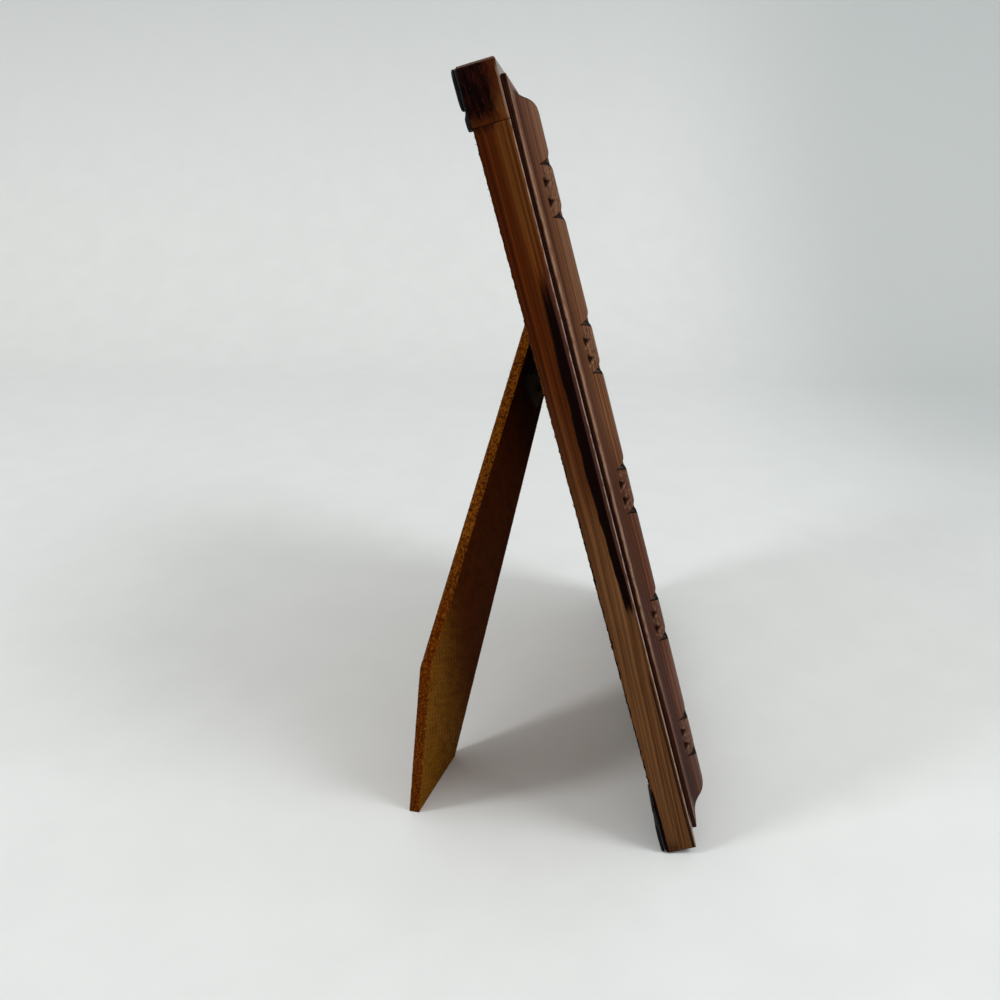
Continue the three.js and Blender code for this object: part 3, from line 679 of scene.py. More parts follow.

# %% [markdown]
# ## Carved moulding wood
# The moulding is a redder, finer wood under a thin varnish.
# Its outer lip was dipped dark, and its edges are rubbed light and carry a painted highlight.
# The wood turns from tan at the top through red-brown to a dusty brown at the foot,
# so the colour follows the length. The cuts of the carving are nearly black, darker the deeper they go:
# partly a dark stain and partly painted shade in the hollows.
# How deep a point was cut is stored by the tree that carves it.


# %% Carved wood
def carved_wood():
    """Reads places in millimetres: across from the outer edge, and along from the middle of a length."""
    material, tree = blank("carved_wood")
    place = painted_place(tree)
    across, _, along = split(place)
    wood = use(tree, GRAIN, Grain=place, Width=0.62, Stretch=320.0)
    streak = wood["Streak"]

    # Where the length is golden, ruddy, dusty or dark, and which part of the section is seen there.
    # The upper flank gets a painted highlight; the cove, the flange and the lower end get painted shade.
    golden = (along + 30).size().ramp(30, 75, 1.0, 0.0)
    ruddy = (along - 20).size().ramp(18, 42, 1.0, 0.0)
    ends = (along + 15).size().ramp(50, 88)
    low_end = along.ramp(42, 90)
    flank_highlight = across.ramp(5.2, 6.4) * across.ramp(9.4, 7.8) * along.ramp(-25, -60)
    flange = across.ramp(3.3, 2.5) * across.ramp(0.4, 1.2) * ruddy
    cove = (across - 4.3).size().ramp(1.5, 0.4) * along.ramp(20, 60)
    shade = fact(tree, "shade") + low_end * 0.14 + cove * 0.3 + flange * 0.22

    # Dipped lip, rubbed edges with a painted highlight, and cuts with painted shade, a painted sheen and
    # painted highlights
    stain = fact(tree, "stain") + (wood["Slow"] - 0.5) * 0.1 + (ends - 0.55) * 0.26 + low_end * 0.16
    dipped = stain.ramp(0.26, 0.44)
    edge = use(tree, RUB_AND_HIGHLIGHT, Amount=fact(tree, "wear"), Place=place)["Mask"]
    edge = edge * (1 - ends * 0.5 - along.ramp(28, 58) * 0.42) * 0.6 * (1 - dipped * 0.8)
    carved, sunk = fact(tree, "band"), fact(tree, "sunk")
    rough_cut = cloud(stretched(place, 2.4, 2.4, 1.1), 1, 3, 0.6)
    # The deeper a cut, the darker its colour: a dark stain and painted shade in the notches and chips.
    notch = (sunk + (streak - 0.5) * 0.03).ramp(0.02, 0.07)
    below_top = along.ramp(-72, -42, 0.25, 1.0)
    # Painted sheen: the lower wall of each notch is grey-brown where light from above would catch it, and
    # black towards the inner crest.
    wall = below_top * sunk.ramp(0.3, 0.65) * rough_cut.ramp(0.4, 0.58, 0.12, 1.0) * across.ramp(9.4, 7.6)
    chip = (fact(tree, "chip") + (rough_cut - 0.5) * 0.5).ramp(0.06, 0.5)
    # Painted highlight on the rim past each chip's middle along the length.
    rim = (fact(tree, "rim") * (streak * 0.6 + 0.6)).ramp(0.25, 0.9)
    pit = notch.most(chip).most(sunk.ramp(-0.02, -0.1))

    light = layered(tree, mix(tree, golden, "#90614c", "#905f3c"), (ruddy * 0.85, "#6c3d26"))
    dark = layered(tree, mix(tree, golden, "#3a1c13", "#381a0b"), (ruddy * 0.85, "#2e130b"))
    tone = layered(
        tree,
        mix(tree, streak, dark, light),
        (wood["Slow"] * 0.35, "#512a1a"),
        (wood["Line"] * 0.7, "#2c140b"),
        (along.ramp(60, 98) * 0.3, "#4f4039"),
        (flank_highlight * 0.2, "#a27a5e"),
        # The light mottle on the carved bands is partly a painted glint on rough cuts.
        (carved * rough_cut.ramp(0.46, 0.66) * 0.5, "#8a6b52"),
        (carved * rough_cut.ramp(0.5, 0.38) * 0.5, "#32180e"),
        (shade, "#28100a"),
        (dipped * 0.95, mix(tree, streak, "#1f0803", "#33160a")),
        (edge, "#ac8a74"),
        (notch.most(sunk.ramp(-0.35, -0.8) * 0.8) * 0.95, "#0c0301"),
        (wall * 0.9, "#50443a"),
        (chip * 0.92, "#1c0703"),
        (rim * below_top * 0.55, "#b09078"),
    )
    roughness = (streak * -0.12 + 0.5).most(pit * 0.75)
    coat = {"Coat Weight": (pit + dipped).ramp(0, 1, 0.12, 0.0), "Coat Roughness": 0.3}
    return dressed(material, tone, roughness, 0.03, streak * 0.5 - wood["Line"] * 0.6, 0.06, coat)


CARVED = carved_wood()
print("material:", CARVED.name)

# %% [markdown]
# ## Carved moulding
# A length of moulding follows a rule: one section, mitred ends, and carved bands at an even pitch.
# So a Geometry Nodes tree makes it. A grid is rolled round the section,
# whose points come in as the object's own mesh.
# A notch is a V with rounded shoulders across the crest.
# Its bottom falls to both sides, so it ends in a point on each flank.
# A chip is three planes that meet at its bottom, cut into a flank.
# Each band takes its own slight change of depth from a random value with a fixed seed.


# %% Moulding section
def curve(start, control, end, steps):
    """Points of a quadratic curve, without its start."""
    shares = np.linspace(0, 1, steps + 1)[1:, None]
    start, control, end = (np.array(p, float) for p in (start, control, end))
    return (1 - shares) ** 2 * start + 2 * (1 - shares) * shares * control + shares**2 * end


def moulding_section(stations):
    """Points round the section (in from the outer edge, height), then one for each place along the length."""
    # A run's control point, end and number of steps, then how dipped, rubbed and highlighted, and shaded it
    # starts and ends
    runs = [
        ((0, 0.5), (0, 1.0), 6, (1, 0.3), (0, 0.8), (0, 0)),
        ((0, 1.2), (0.22, 1.24), 5, (0.3, 0.05), (0.9, 1), (0, 0)),
        ((1.6, 1.52), (3.0, 1.82), 12, (0, 0), (0.6, 0.1), (0, 0.2)),
        ((4.5, 2.14), (5.75, 3.97), 22, (0, 0), (0, 0), (0.5, 0.34)),
        ((7.0, 5.8), (8.8, 5.97), 24, (0, 0), (0, 0.3), (0.06, 0)),
        ((9.8, 6.13), (10.9, 5.9), 10, (0, 0), (0.3, 0.2), (0, 0)),
        ((12.95, 5.9), (12.95, 4.45), 18, (0, 0), (0.2, 0), (0, 0.2)),
        ((12.95, 3), (14.75, 3), 14, (0, 0), (0, 0), (0.22, 0.3)),
        ((15, 3), (15, 2.75), 4, (0, 0), (0.7, 0.7), (0, 0)),
        ((15, 1.4), (15, 0), 4, (0.5, 1), (0, 0), (0, 0)),
        ((7.5, 0), (0, 0), 4, (1, 1), (0, 0), (0, 0)),
    ]
    points, facts, start = [], {"stain": [], "wear": [], "shade": []}, (0, 0)
    for control, end, steps, *ends in runs:
        points += [(o, h, 0) for o, h in curve(start, control, end, steps)]
        start = end
        for (first, last), values in zip(ends, facts.values()):
            values += list(np.linspace(first, last, steps))
    count = len(points)
    points += [(place, 0, 0) for place in stations]
    for values in facts.values():
        values += [0] * len(stations)
    return mesh_of("moulding_section", points, [], facts), count


print("section of", moulding_section([])[1], "points ready")


# %% Helpers for Geometry Nodes
def new_tree(name, sizes):
    """An empty tree that takes a shape, its sizes and a material."""
    return new_group(name, "GeometryNodeTree", {"Geometry": "Geometry", **sizes, "Material": "Material"})


def shaped(tree, kind, inputs=(), **settings):
    """Adds a node of Geometry Nodes and gives its first output."""
    return add(tree, "GeometryNode" + kind, inputs, **settings).outputs[0]


def active(sockets, name=None):
    """The first socket that the node's settings leave in use, by name where one is given."""
    return next(s for s in sockets if s.enabled and name in (None, s.name))


def named(tree, name, kind="FLOAT"):
    """An attribute of the incoming points."""
    return shaped(tree, "InputNamedAttribute", {"Name": name}, data_type=kind)


def chance(tree, low, high, **inputs):
    """A random number or vector, fixed by its seed."""
    kind = "FLOAT_VECTOR" if isinstance(low, tuple) else "FLOAT"
    node = add(tree, "FunctionNodeRandomValue", data_type=kind)
    for name, value in {"Min": low, "Max": high, **inputs}.items():
        fill(active(node.inputs, name), value)
    return active(node.outputs)


def merged(tree, shape, distance):
    return shaped(tree, "MergeByDistance", {"Geometry": shape, "Distance": distance})


def together(tree, *shapes):
    node = add(tree, "GeometryNodeJoinGeometry")
    for shape in shapes:
        fill(node.inputs[0], shape)
    return node.outputs[0]


def handed_over(tree, given, shape):
    """Ends a tree: copies become real faces and take the material."""
    shape = shaped(tree, "RealizeInstances", {"Geometry": shape})
    shape = shaped(tree, "SetMaterial", {"Geometry": shape, "Material": given["Material"]})
    return give(tree, "Geometry", Geometry=shape)


def copied(tree, given, shape, **inputs):
    """Ends a tree with copies of a shape on the points that came in."""
    inputs.update({"Points": given["Geometry"], "Instance": shape})
    return handed_over(tree, given, shaped(tree, "InstanceOnPoints", inputs))


def run_tree(obj, tree, **inputs):
    """Runs a tree on an object and keeps the mesh that it makes."""
    if not obj.users_collection:
        bpy.context.scene.collection.objects.link(obj)
    modifier = obj.modifiers.new(tree.name, "NODES")
    modifier.node_group = tree
    for item in tree.interface.items_tree:
        if item.in_out == "INPUT" and item.name in inputs:
            modifier[item.identifier] = inputs[item.name]
    graph = bpy.context.evaluated_depsgraph_get()
    made = bpy.data.meshes.new_from_object(obj.evaluated_get(graph))
    obj.modifiers.remove(modifier)
    old, obj.data = obj.data, made
    name = old.name
    bpy.data.meshes.remove(old)
    made.name = name
    return obj


print("tree helpers ready")


# %% Cuts of the carving
# The outer and the inner flank: its middle, the way up it and the way into it
FLANKS = (
    ((5.97, 4.28), (0.586, 0.81), (0.81, -0.586)),
    ((12.85, 4.71), (-0.249, 0.968), (-0.968, -0.249)),
)


def nearest_band(tree, size, along):
    """How far along its band a point is, and how strongly that band was cut."""
    # A band's own length starts this far before its first notch
    lead = 6
    travelled = along + size["Length"] * 0.5 - size["First band"]
    number = ((travelled + lead) / size["Band pitch"]).floor().most(0).least(size["Bands"] - 1)
    strength = Value(chance(tree, 0.9, 1.1, ID=number, Seed=size["Seed"]))
    return travelled - number * size["Band pitch"], strength


def notched(size, o, h, local, strength):
    """What the notches take: positive on the walls that look down the length, negative on the others."""
    sunk = h * 0
    deep = size["Notch depth"] * strength + (o - size["Crest middle"]).size() * size["Notch fall"]
    for place in (0.0, 1.0):
        gap = local - size["Band length"] * place + 0.5
        share = (1 - gap.size() / (size["Notch length"] * 0.5)).most(0)
        taken = (h - size["Crest height"] + deep * share * share).most(0)
        sunk = sunk + taken * (gap.above(-0.05) * 2 - 1)
    return sunk


def chipped(size, o, h, local, strength, moved_o, moved_h):
    """Where the chips move a point to, how deep they are there, and how near it is to the rim past the chip's
    middle along the length, where a highlight is painted.
    """
    length, width = size["Chip length"], size["Chip width"]
    depth, rim = h * 0, h * 0
    for middle, up, inward in FLANKS:
        away = ((o - middle[0]) * inward[0] + (h - middle[1]) * inward[1]).size()
        rise = (o - middle[0]) * up[0] + (h - middle[1]) * up[1]
        for place in (0.3, 0.67):
            sideways = local - size["Band length"] * place
            base = (rise + width * 0.5) / (width * 0.333)
            sides = (width * 0.5 - rise) / width * length * 0.5 - sideways.size()
            slant = base.least(sides / (length * 0.333)).least(3 - away * 3)
            rim = rim.most((1 - ((slant + 0.14) * 5).size()) * sideways.ramp(-0.3, 0.5))
            pit = slant.most(0).least(1) * size["Chip depth"] * strength
            moved_o, moved_h, depth = moved_o + pit * inward[0], moved_h + pit * inward[1], depth + pit
    return moved_o, moved_h, depth, rim


print("ready: nearest_band, notched, chipped")


# %% Moulding tree
def moved_with(tree, shape, facts, place):
    """Moves points to a place. Facts are captured before the points move and stored after it."""
    captured = {}
    for name, value in facts.items():
        node = add(tree, "GeometryNodeCaptureAttribute", {"Geometry": shape})
        node.capture_items.new("VECTOR" if name == "grain" else "FLOAT", name)
        fill(node.inputs[1], value)
        shape, captured[name] = node.outputs[0], node.outputs[1]
    shape = shaped(tree, "SetPosition", {"Geometry": shape, "Position": place})
    for name, value in captured.items():
        settings = {"data_type": "FLOAT_VECTOR" if name == "grain" else "FLOAT", "domain": "POINT"}
        node = add(tree, "GeometryNodeStoreNamedAttribute", {"Geometry": shape, "Name": name}, **settings)
        fill(active(node.inputs, "Value"), value)
        shape = node.outputs[0]
    return shape


def carved_length():
    sizes = {
        "Length": 200.0,
        "Stations": 600,
        "Ring": 100,
        "First band": 19.6,
        "Band pitch": 37.5,
        "Bands": 5,
        "Band length": BAND_LENGTH,
        "Crest middle": 9.6,
        "Crest height": 6.05,
        "Notch depth": 0.86,
        "Notch fall": 0.42,
        "Notch length": 4.9,
        "Chip length": 3.2,
        "Chip width": 2.3,
        "Chip depth": 0.85,
        "Seed": 3,
    }
    tree, given = new_tree("carved_length", sizes)
    size = {name: Value(socket) for name, socket in given.items()}

    # Roll a grid of whole numbers round the section. Its first and last rows close the ends in one point.
    ring, stations, length = size["Ring"], size["Stations"], size["Length"]
    counts = {"Size X": stations + 1, "Size Y": ring, "Vertices X": stations + 2, "Vertices Y": ring + 1}
    shape = shaped(tree, "MeshGrid", counts)
    spot = shaped(tree, "InputPosition")
    column, turn, _ = split(spot)
    row = (column + (stations + 1) * 0.5 + 0.5).floor()
    index = (turn + ring * 0.5 + 0.5).floor()
    index = index - ring * (index + 0.5).above(ring)

    def sampled(kind, value, number):
        taken = {"Geometry": given["Geometry"], "Index": number}
        node = add(tree, "GeometryNodeSampleIndex", taken, data_type=kind, domain="POINT")
        fill(active(node.inputs, "Value"), value)
        return active(node.outputs)

    o, h, _ = split(sampled("FLOAT_VECTOR", spot, index))
    end_o, end_h = 8, 1
    closing = 1 - (row - 0.5).above(0) + (row - 0.5).above(stations)
    o = o + (end_o - o) * closing
    h = h + (end_h - h) * closing
    half = length * 0.5 - o - GLUE_GAP
    station = split(sampled("FLOAT_VECTOR", spot, ring + (row - 1).most(0).least(stations - 1)))[0]
    along = station.most(half * -1).least(half)

    # Cut the bands, with a slight unevenness from the hand tools
    local, strength = nearest_band(tree, size, along)
    sunk = notched(size, o, h, local, strength)
    moved_o, moved_h, chip, rim = chipped(size, o, h, local, strength, o, h - sunk.size())
    band = (local - 0.6).above(0) * (size["Band length"] - 0.6 - local).above(0) * h.ramp(3.4, 4.2)
    ripple = cloud(joined(o, h, along * 0.12), 0.7, 2)
    moved_h = moved_h + (ripple - 0.5) * 0.12 * (h - 1.5).above(0)

    facts = {"grain": joined(o, h, along), "sunk": sunk, "chip": chip, "rim": rim, "band": band}
    for name in ("stain", "wear", "shade"):
        facts[name] = Value(sampled("FLOAT", named(tree, name), index))
    shape = moved_with(tree, shape, facts, joined(along, moved_h * -1, moved_o))
    return handed_over(tree, given, merged(tree, shape, 0.001))


CARVING = carved_length()
print("tree:", CARVING.name)


# %% Four carved lengths
def moulding(name, turn, x, z, flip, seed, length, bands, first, pitch):
    # Places along the length stand close together where the carving is and far apart elsewhere
    close, apart, margin = 0.16, 1.4, 3.2
    stations, place = [-length / 2], -length / 2
    while place < length / 2:
        local = (place + length / 2 - first + margin) % pitch
        place += close if local < BAND_LENGTH + 2 * margin else min(apart, pitch - local + 0.01)
        stations.append(min(place, length / 2))
    section, count = moulding_section(stations)
    sizes = {"Length": length, "Stations": len(stations), "Ring": count}
    sizes.update({"Bands": bands, "First band": first, "Band pitch": pitch})
    obj = run_tree(bpy.data.objects.new(name, section), CARVING, Seed=seed, Material=CARVED, **sizes)
    to_frame = Matrix.Translation((x, -RAIL_THICKNESS - GLUE_GAP, z)) @ Matrix.Rotation(turn, 4, "Y")
    placed(obj.data, STANDING @ to_frame @ Matrix.Diagonal((flip, 1, 1, 1)))
    return settle(obj, "frame", [name.replace("_carved", "")], [CARVED], 28)


# Each kind of length with its number of bands, the place of the first and the pitch
LONG = (FRAME_HEIGHT - 2 * MOULDING_INSET, 5, 20.35, 37.15)
SHORT = (FRAME_WIDTH - 2 * MOULDING_INSET, 4, 18.9, 33.367)
moulding("moulding_left_carved", math.pi / 2, MOULDING_INSET - SIDE, FRAME_HEIGHT / 2, 1, 3, *LONG)
moulding("moulding_right_carved", -math.pi / 2, SIDE - MOULDING_INSET, FRAME_HEIGHT / 2, -1, 5, *LONG)
moulding("moulding_top_carved", math.pi, 0, FRAME_HEIGHT - MOULDING_INSET, -1, 8, *SHORT)
moulding("moulding_bottom_carved", 0, 0, MOULDING_INSET, 1, 13, *SHORT)

# %% [markdown]
# ## Hardboard
# Hardboard is wood fibre pressed hard. One face is smooth.
# The other keeps the print of the wire screen that it was pressed on. The sawn edges are furry.
# One function makes all three, so they start from the same board.
# The face towards the frame is painted with light and shade: near black by the hinge, darker in the frame's
# shadow away from its near edges, and lighter at the foot, where light reaches it.


# %% Hardboard materials
def hardboard(kind):
    material, tree = blank("hardboard_" + kind)
    place = painted_place(tree)
    height = split(place)[2]
    pressed = use(tree, SCREEN, Place=place, Pitch=2.1)
    fibre, mesh_print = pressed["Fibre"], pressed["Height"]
    blotch = cloud(stretched(place, 0.12, 0.12, 0.06), 1, 3)
    tone = mix(tree, fibre, "#5e3007", "#b07a26")
    tone = layered(tree, tone, (blotch.ramp(0.35, 0.65) * 0.35, "#85510c"))
    if kind == "screen":
        # Painted light and shade: darker away from the near edges and along the far edge, near black by the
        # hinge, lighter at the foot.
        first, second, far = split(painted_place(tree, "inward"))
        shaded = first.least(second) * 0.03 + far.ramp(15, 1) * 0.55
        painted_light = (height.ramp(-45, -130) * 1.5 - shaded + (blotch - 0.5) * 0.4).ramp(-0.25, 1.15)
        hairy = mesh_print.ramp(0.45, 0.85) * first.ramp(16, 3)
        tone = layered(
            tree,
            mix(tree, painted_light * 0.92 + 0.08, "#5a2301", tone),
            (mesh_print.ramp(0.5, 0.1) * 0.65, "#2d0e00"),
            (height.ramp(-42, -16) * 0.75, "#080201"),
            (hairy * 0.4, "#744310"),
        )
        relief = (mesh_print * 0.8 + fibre * 0.4, 0.3)
    elif kind == "edge":
        clump = cloud(stretched(place, 1.8, 1.8, 1.4), 1, 5, 0.72)
        upper = height.ramp(-100, -55)
        tone = layered(
            tree,
            mix(tree, clump.ramp(0.38, 0.6), "#84440c", "#481902"),
            (clump.ramp(0.4, 0.28) * 0.5, "#b07a30"),
            (upper * clump.ramp(0.62, 0.4) * 0.5, "#a8661f"),
            (upper * clump.ramp(0.52, 0.66) * 0.5, "#2e0f02"),
        )
        relief = (fibre * 0.5 - clump, 0.6)
    else:
        tone = mix(tree, 0.55, tone, "#5f3a12")
        relief = (fibre, 0.03)
    dullness, specular = (0.55, 0.3) if kind == "smooth" else (0.8, 0.01)
    return dressed(material, tone, fibre * -0.15 + dullness, specular, *relief)


SCREEN_SIDE, SAWN_EDGE, SMOOTH_SIDE = (hardboard(kind) for kind in ("screen", "edge", "smooth"))
print("materials:", SCREEN_SIDE.name, SAWN_EDGE.name, SMOOTH_SIDE.name)

# %% [markdown]
# ## Easel leg
# The leg's outline comes from the CAD piece: its corners on both faces. Thin layers fill its thickness,
# and the points of the sawn edge are shaken in clumps, more in the middle of the thickness than at the faces.


# %% Easel leg
def leg_corners():
    """Corners of both faces of the leg in its own millimetres, in order round it."""
    back = LEG.inverted()
    own = [back @ v.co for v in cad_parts["easel_leg"].data.vertices]
    faces = []
    for depth in (LEG_FACE, LEG_FACE + LEG_THICKNESS):
        flat = {(round(p.x, 2), round(p.z, 2)) for p in own if abs(p.y - depth) < 0.02}
        # The points round the rivet holes are left out
        flat = [p for p in flat if math.hypot(abs(p[0]) - RIVET_ASIDE, p[1] + RIVET_REACH) > 2]
        middle = np.mean(flat, axis=0)
        faces.append(sorted(flat, key=lambda p: math.atan2(p[1] - middle[1], p[0] - middle[0])))
    return faces


def easel_leg():
    inner, outer = (np.array(face) for face in leg_corners())
    layers = np.linspace(0, 1, 11)
    points, grain, inward = [], [], []

    # The near sides are the long edge and the trim below it, which look most at the camera.
    # Each point keeps its way in from both, and from the long edge on the far side.
    sides = sorted(sides_of(inner), key=lambda ends: (LEG @ Vector((*(ends[0] + ends[1]) / 2, 0)).xzy).x)
    far = max(sides[2:], key=lambda ends: np.linalg.norm(ends[1] - ends[0]))
    steps = [max(2, int(round(np.linalg.norm(end - start) / 0.45))) for start, end, _ in sides_of(inner)]

    def way_in(p, side):
        return abs(float(np.dot(p - side[0], side[2])))

    for share in layers:
        inset = 0.16 * max(0, 1 - min(share, 1 - share) / 0.1)
        for (a, b, out), count in zip(sides_of(inner * (1 - share) + outer * share), steps):
            step = np.linalg.norm(b - a) / count
            for k in range(count):
                p = a + (b - a) * k / count
                own = Vector((p[0], share * LEG_THICKNESS, p[1]))
                shake = 0.3 * rough(own, 1.1) + 0.15 * rough(own, 4)
                from_corner = min(k, count - k) * step
                shake *= min(1, from_corner / 1.5) * (0.45 + 0.55 * math.sin(math.pi * share))
                q = p + out * (shake - inset - 0.05)
                points.append((q[0], LEG_FACE + LEG_THICKNESS * share, q[1]))
                grain.append(tuple(own))
                inward.append((way_in(p, sides[0]), way_in(p, sides[1]), way_in(p, far)))
    faces = skin(len(layers), sum(steps))
    slots = [2] * (len(faces) - 2) + [0, 1]
    mesh = mesh_of("easel_leg_board", points, faces, {"grain": grain, "inward": inward}, slots)
    obj = bpy.data.objects.new("easel_leg_board", placed(mesh, LEG))
    return settle(obj, "leg", ["easel_leg"], [SCREEN_SIDE, SMOOTH_SIDE, SAWN_EDGE])


easel_leg()

# %% [markdown]
# ## Felt patches and rubber bumpers
# Both are stacks of rounded rectangles that grow smaller towards the outside, so the edges look soft.
# Felt that has come loose swells away from the wood.
# The lower bumpers are pressed flat where they meet the table.


# %% Felt and rubber materials
def black_pad(name, grain, codes, tones, roughness, sheen, depth):
    """A black material with fine specks. The grain is a noise's scale, detail and roughness."""
    material, tree = blank(name)
    speck = cloud(object_place(tree), *grain)
    tone = mix(tree, speck.ramp(*tones), *codes)
    return dressed(material, tone, speck.ramp(*roughness), 0.1, speck, depth, {"Sheen Weight": sheen})


FELT = black_pad(
    "black_felt", (3500, 4, 0.7), ("#0b0909", "#1e1b1b"), (0.35, 0.7), (0.3, 0.7, 0.9, 1.0), 0.15, 0.12
)
RUBBER = black_pad(
    "black_rubber", (900, 5, 0.65), ("#050606", "#101112"), (0.5, 0.75), (0.35, 0.7, 0.42, 0.65), 0.0, 0.04
)
print("materials:", FELT.name, RUBBER.name)


# %% Pads
def pad(name, node, slot, material, across, up, radius, layers, ragged, swell=None):
    """A rounded pad between two places across and two up, with layers of (y, inset). It may swell."""
    low, high = np.array((across[0], up[0])), np.array((across[1], up[1]))
    ways = ((0, 0), (0, 1), (1, 1), (1, 0))
    loop = rounded_loop([(across[i], up[j], radius) for i, j in ways], 0.5, 8)
    middle, half = (low + high) / 2, (high - low) / 2
    points = []
    for y, inset in layers:
        for u, v, _ in loop:
            p = middle + (np.array((u, v)) - middle) * (1 - inset / half)
            p = p + ragged * rough((u, y * 3, v), 0.9) * (p - middle) / half
            thick = y - layers[0][0]
            points.append((p[0], y + thick * (swell(p[1]) if swell else 0), p[1]))
    mesh = placed(mesh_of(name, points, skin(len(layers), len(loop))), STANDING)
    return settle(bpy.data.objects.new(name, mesh), "frame", [node], [material], 50)


FELT_LAYERS = [(0.15, 0.05), (0.25, 0), (0.45, 0), (0.52, 0.12)]
FELT_LAYERS += [(0.55, 0.4), (0.55, 1), (0.55, 2), (0.55, 3.5)]
RUBBER_LAYERS = [(0.7, 0.1), (0.78, 0), (1.0, 0), (1.15, 0.07)]
RUBBER_LAYERS += [(1.28, 0.24), (1.37, 0.55), (1.42, 1.0), (1.45, 1.9)]
FELT_WIDTH = 11.7
TOP = FRAME_HEIGHT - 0.1

# For each end: the felt's place, the bumper's place, the bumper's width, and where the felt is loose
ENDS = {
    "top": ((TOP - 0.3 - 12.6, TOP), (TOP - 0.3 - 8.3, TOP), 8.3, lambda z: 1.3 * smooth(198, 196.5, z)),
    "bottom": ((0.4, 0.4 + 15.3), (-0.7, 8.0), 10.5, lambda z: 0.9 * smooth(8.2, 10, z)),
}
for side, way in (("left", -1), ("right", 1)):
    outer = way * (SIDE - 0.1)
    for end, (felt_up, bumper_up, bumper, loose) in ENDS.items():
        corner = f"{end}_{side}"
        across = sorted((outer, outer - way * FELT_WIDTH))
        names = ("felt_" + corner, "corner_patch_" + corner)
        pad(*names, "black_felt", FELT, across, felt_up, 2, FELT_LAYERS, 0.08, loose)
        across = sorted((outer, outer - way * bumper))
        names = ("pad_" + corner, "bumper_" + corner)
        pad(*names, "black_rubber", RUBBER, across, bumper_up, 2.5, RUBBER_LAYERS, 0.02)

# %% [markdown]
# ## Metal
# The hinge and its rivets are blackened steel, matt and almost without shine.
# The flat points are bright steel with fine scratches, and the brads are dull steel.
# Points and rivets repeat, so small trees place copies of one shape on a few points.


# %% Metal materials
def frame_place(tree):
    """Object coordinates turned to the leaning frame, in millimetres."""
    turned = {"Location": FRAME_FOOT, "Rotation": (-LEAN, 0, 0), "Scale": (MM, MM, MM)}
    turned["Vector"] = object_place(tree)
    return add(tree, "ShaderNodeMapping", turned, vector_type="TEXTURE").outputs[0]


def metal(name, dark, light, metallic, rough_low, rough_high, depth):
    material, tree = blank(name)
    place = frame_place(tree)
    scratch = cloud(stretched(place, 0.6, 6, 5), 1, 4, 0.6)
    spots = cloud(place, 1.3, 4, 0.65)
    tone = mix(tree, spots.ramp(0.4, 0.7), dark, light)
    roughness = scratch.ramp(0.3, 0.7, rough_low, rough_high)
    shine = {"Metallic": spots.ramp(0.5, 0.75, metallic * 0.85, metallic)}
    return dressed(material, tone, roughness, 0.1, scratch * 0.5 + spots * 0.5, depth, shine)


BLACK_STEEL = metal("black_steel", "#040303", "#0c0a09", 0.3, 0.5, 0.7, 0.03)
BRIGHT_STEEL = metal("bright_steel", "#8f8f8c", "#bdbcb7", 1.0, 0.25, 0.45, 0.02)
DULL_STEEL = metal("dull_steel", "#3d3b38", "#5f5c58", 1.0, 0.45, 0.65, 0.02)
print("materials:", BLACK_STEEL.name, BRIGHT_STEEL.name, DULL_STEEL.name)


# %% Trees that place small metal pieces
def tab_tree():
    """Flat tabs with rounded corners. Each point carries the turn of its tab."""
    tree, given = new_tree("flat_points", {"Width": 6.0, "Length": 12.0, "Thickness": 0.4, "Corner": 1.6})
    outline = {"Width": given["Length"], "Height": given["Width"]}
    outline = shaped(tree, "CurvePrimitiveQuadrilateral", outline)
    outline = {"Curve": outline, "Radius": given["Corner"], "Count": 6}
    outline = shaped(tree, "FilletCurve", outline, mode="POLY")
    face = shaped(tree, "FillCurve", {"Curve": outline}, mode="NGONS")
    lifted = {"Mesh": face, "Offset Scale": given["Thickness"], "Individual": False}
    lifted = shaped(tree, "ExtrudeMesh", lifted, mode="FACES")
    under = shaped(tree, "FlipFaces", {"Mesh": face})
    tab = merged(tree, together(tree, lifted, under), 0.001)
    return copied(tree, given, tab, Rotation=named(tree, "turn", "FLOAT_VECTOR"))


def rivet_tree():
    """Domed heads on short shanks, which stand on points and look along Y."""
    sizes = {"Head radius": 2.4, "Head height": 0.7, "Shank radius": 1.2, "Shank length": 4.0}
    tree, given = new_tree("rivets", sizes)
    ball = shaped(tree, "MeshUVSphere", {"Segments": 32, "Rings": 16, "Radius": 1.0})
    x, y, z = split(shaped(tree, "InputPosition"))
    radius, shank_length = Value(given["Head radius"]), Value(given["Shank length"])
    dome = joined(x * radius, y * radius, (z * Value(given["Head height"])).most(0.0))
    head = shaped(tree, "SetPosition", {"Geometry": ball, "Position": dome})
    shank = {"Vertices": 24, "Radius": given["Shank radius"], "Depth": shank_length}
    shank = shaped(tree, "MeshCylinder", shank)
    down = joined(0.0, 0.0, shank_length * -0.5 + 0.05)
    shank = shaped(tree, "Transform", {"Geometry": shank, "Translation": down})
    rivet = together(tree, merged(tree, head, 0.0005), shank)
    return copied(tree, given, rivet, Rotation=(-math.pi / 2, 0, 0))


TABS, RIVETS = tab_tree(), rivet_tree()
print("trees:", TABS.name, RIVETS.name)


# %% Points and rivets
def row_of(name, tree, places, facts, matrix, body, nodes, slot, material, sharp=40, **sizes):
    """One piece made of copies on points, which are given in the matrix's millimetres."""
    obj = bpy.data.objects.new(name, mesh_of(name, places, [], facts))
    run_tree(obj, tree, Material=material, **sizes)
    placed(obj.data, matrix)
    return settle(obj, body, nodes, [material], sharp)


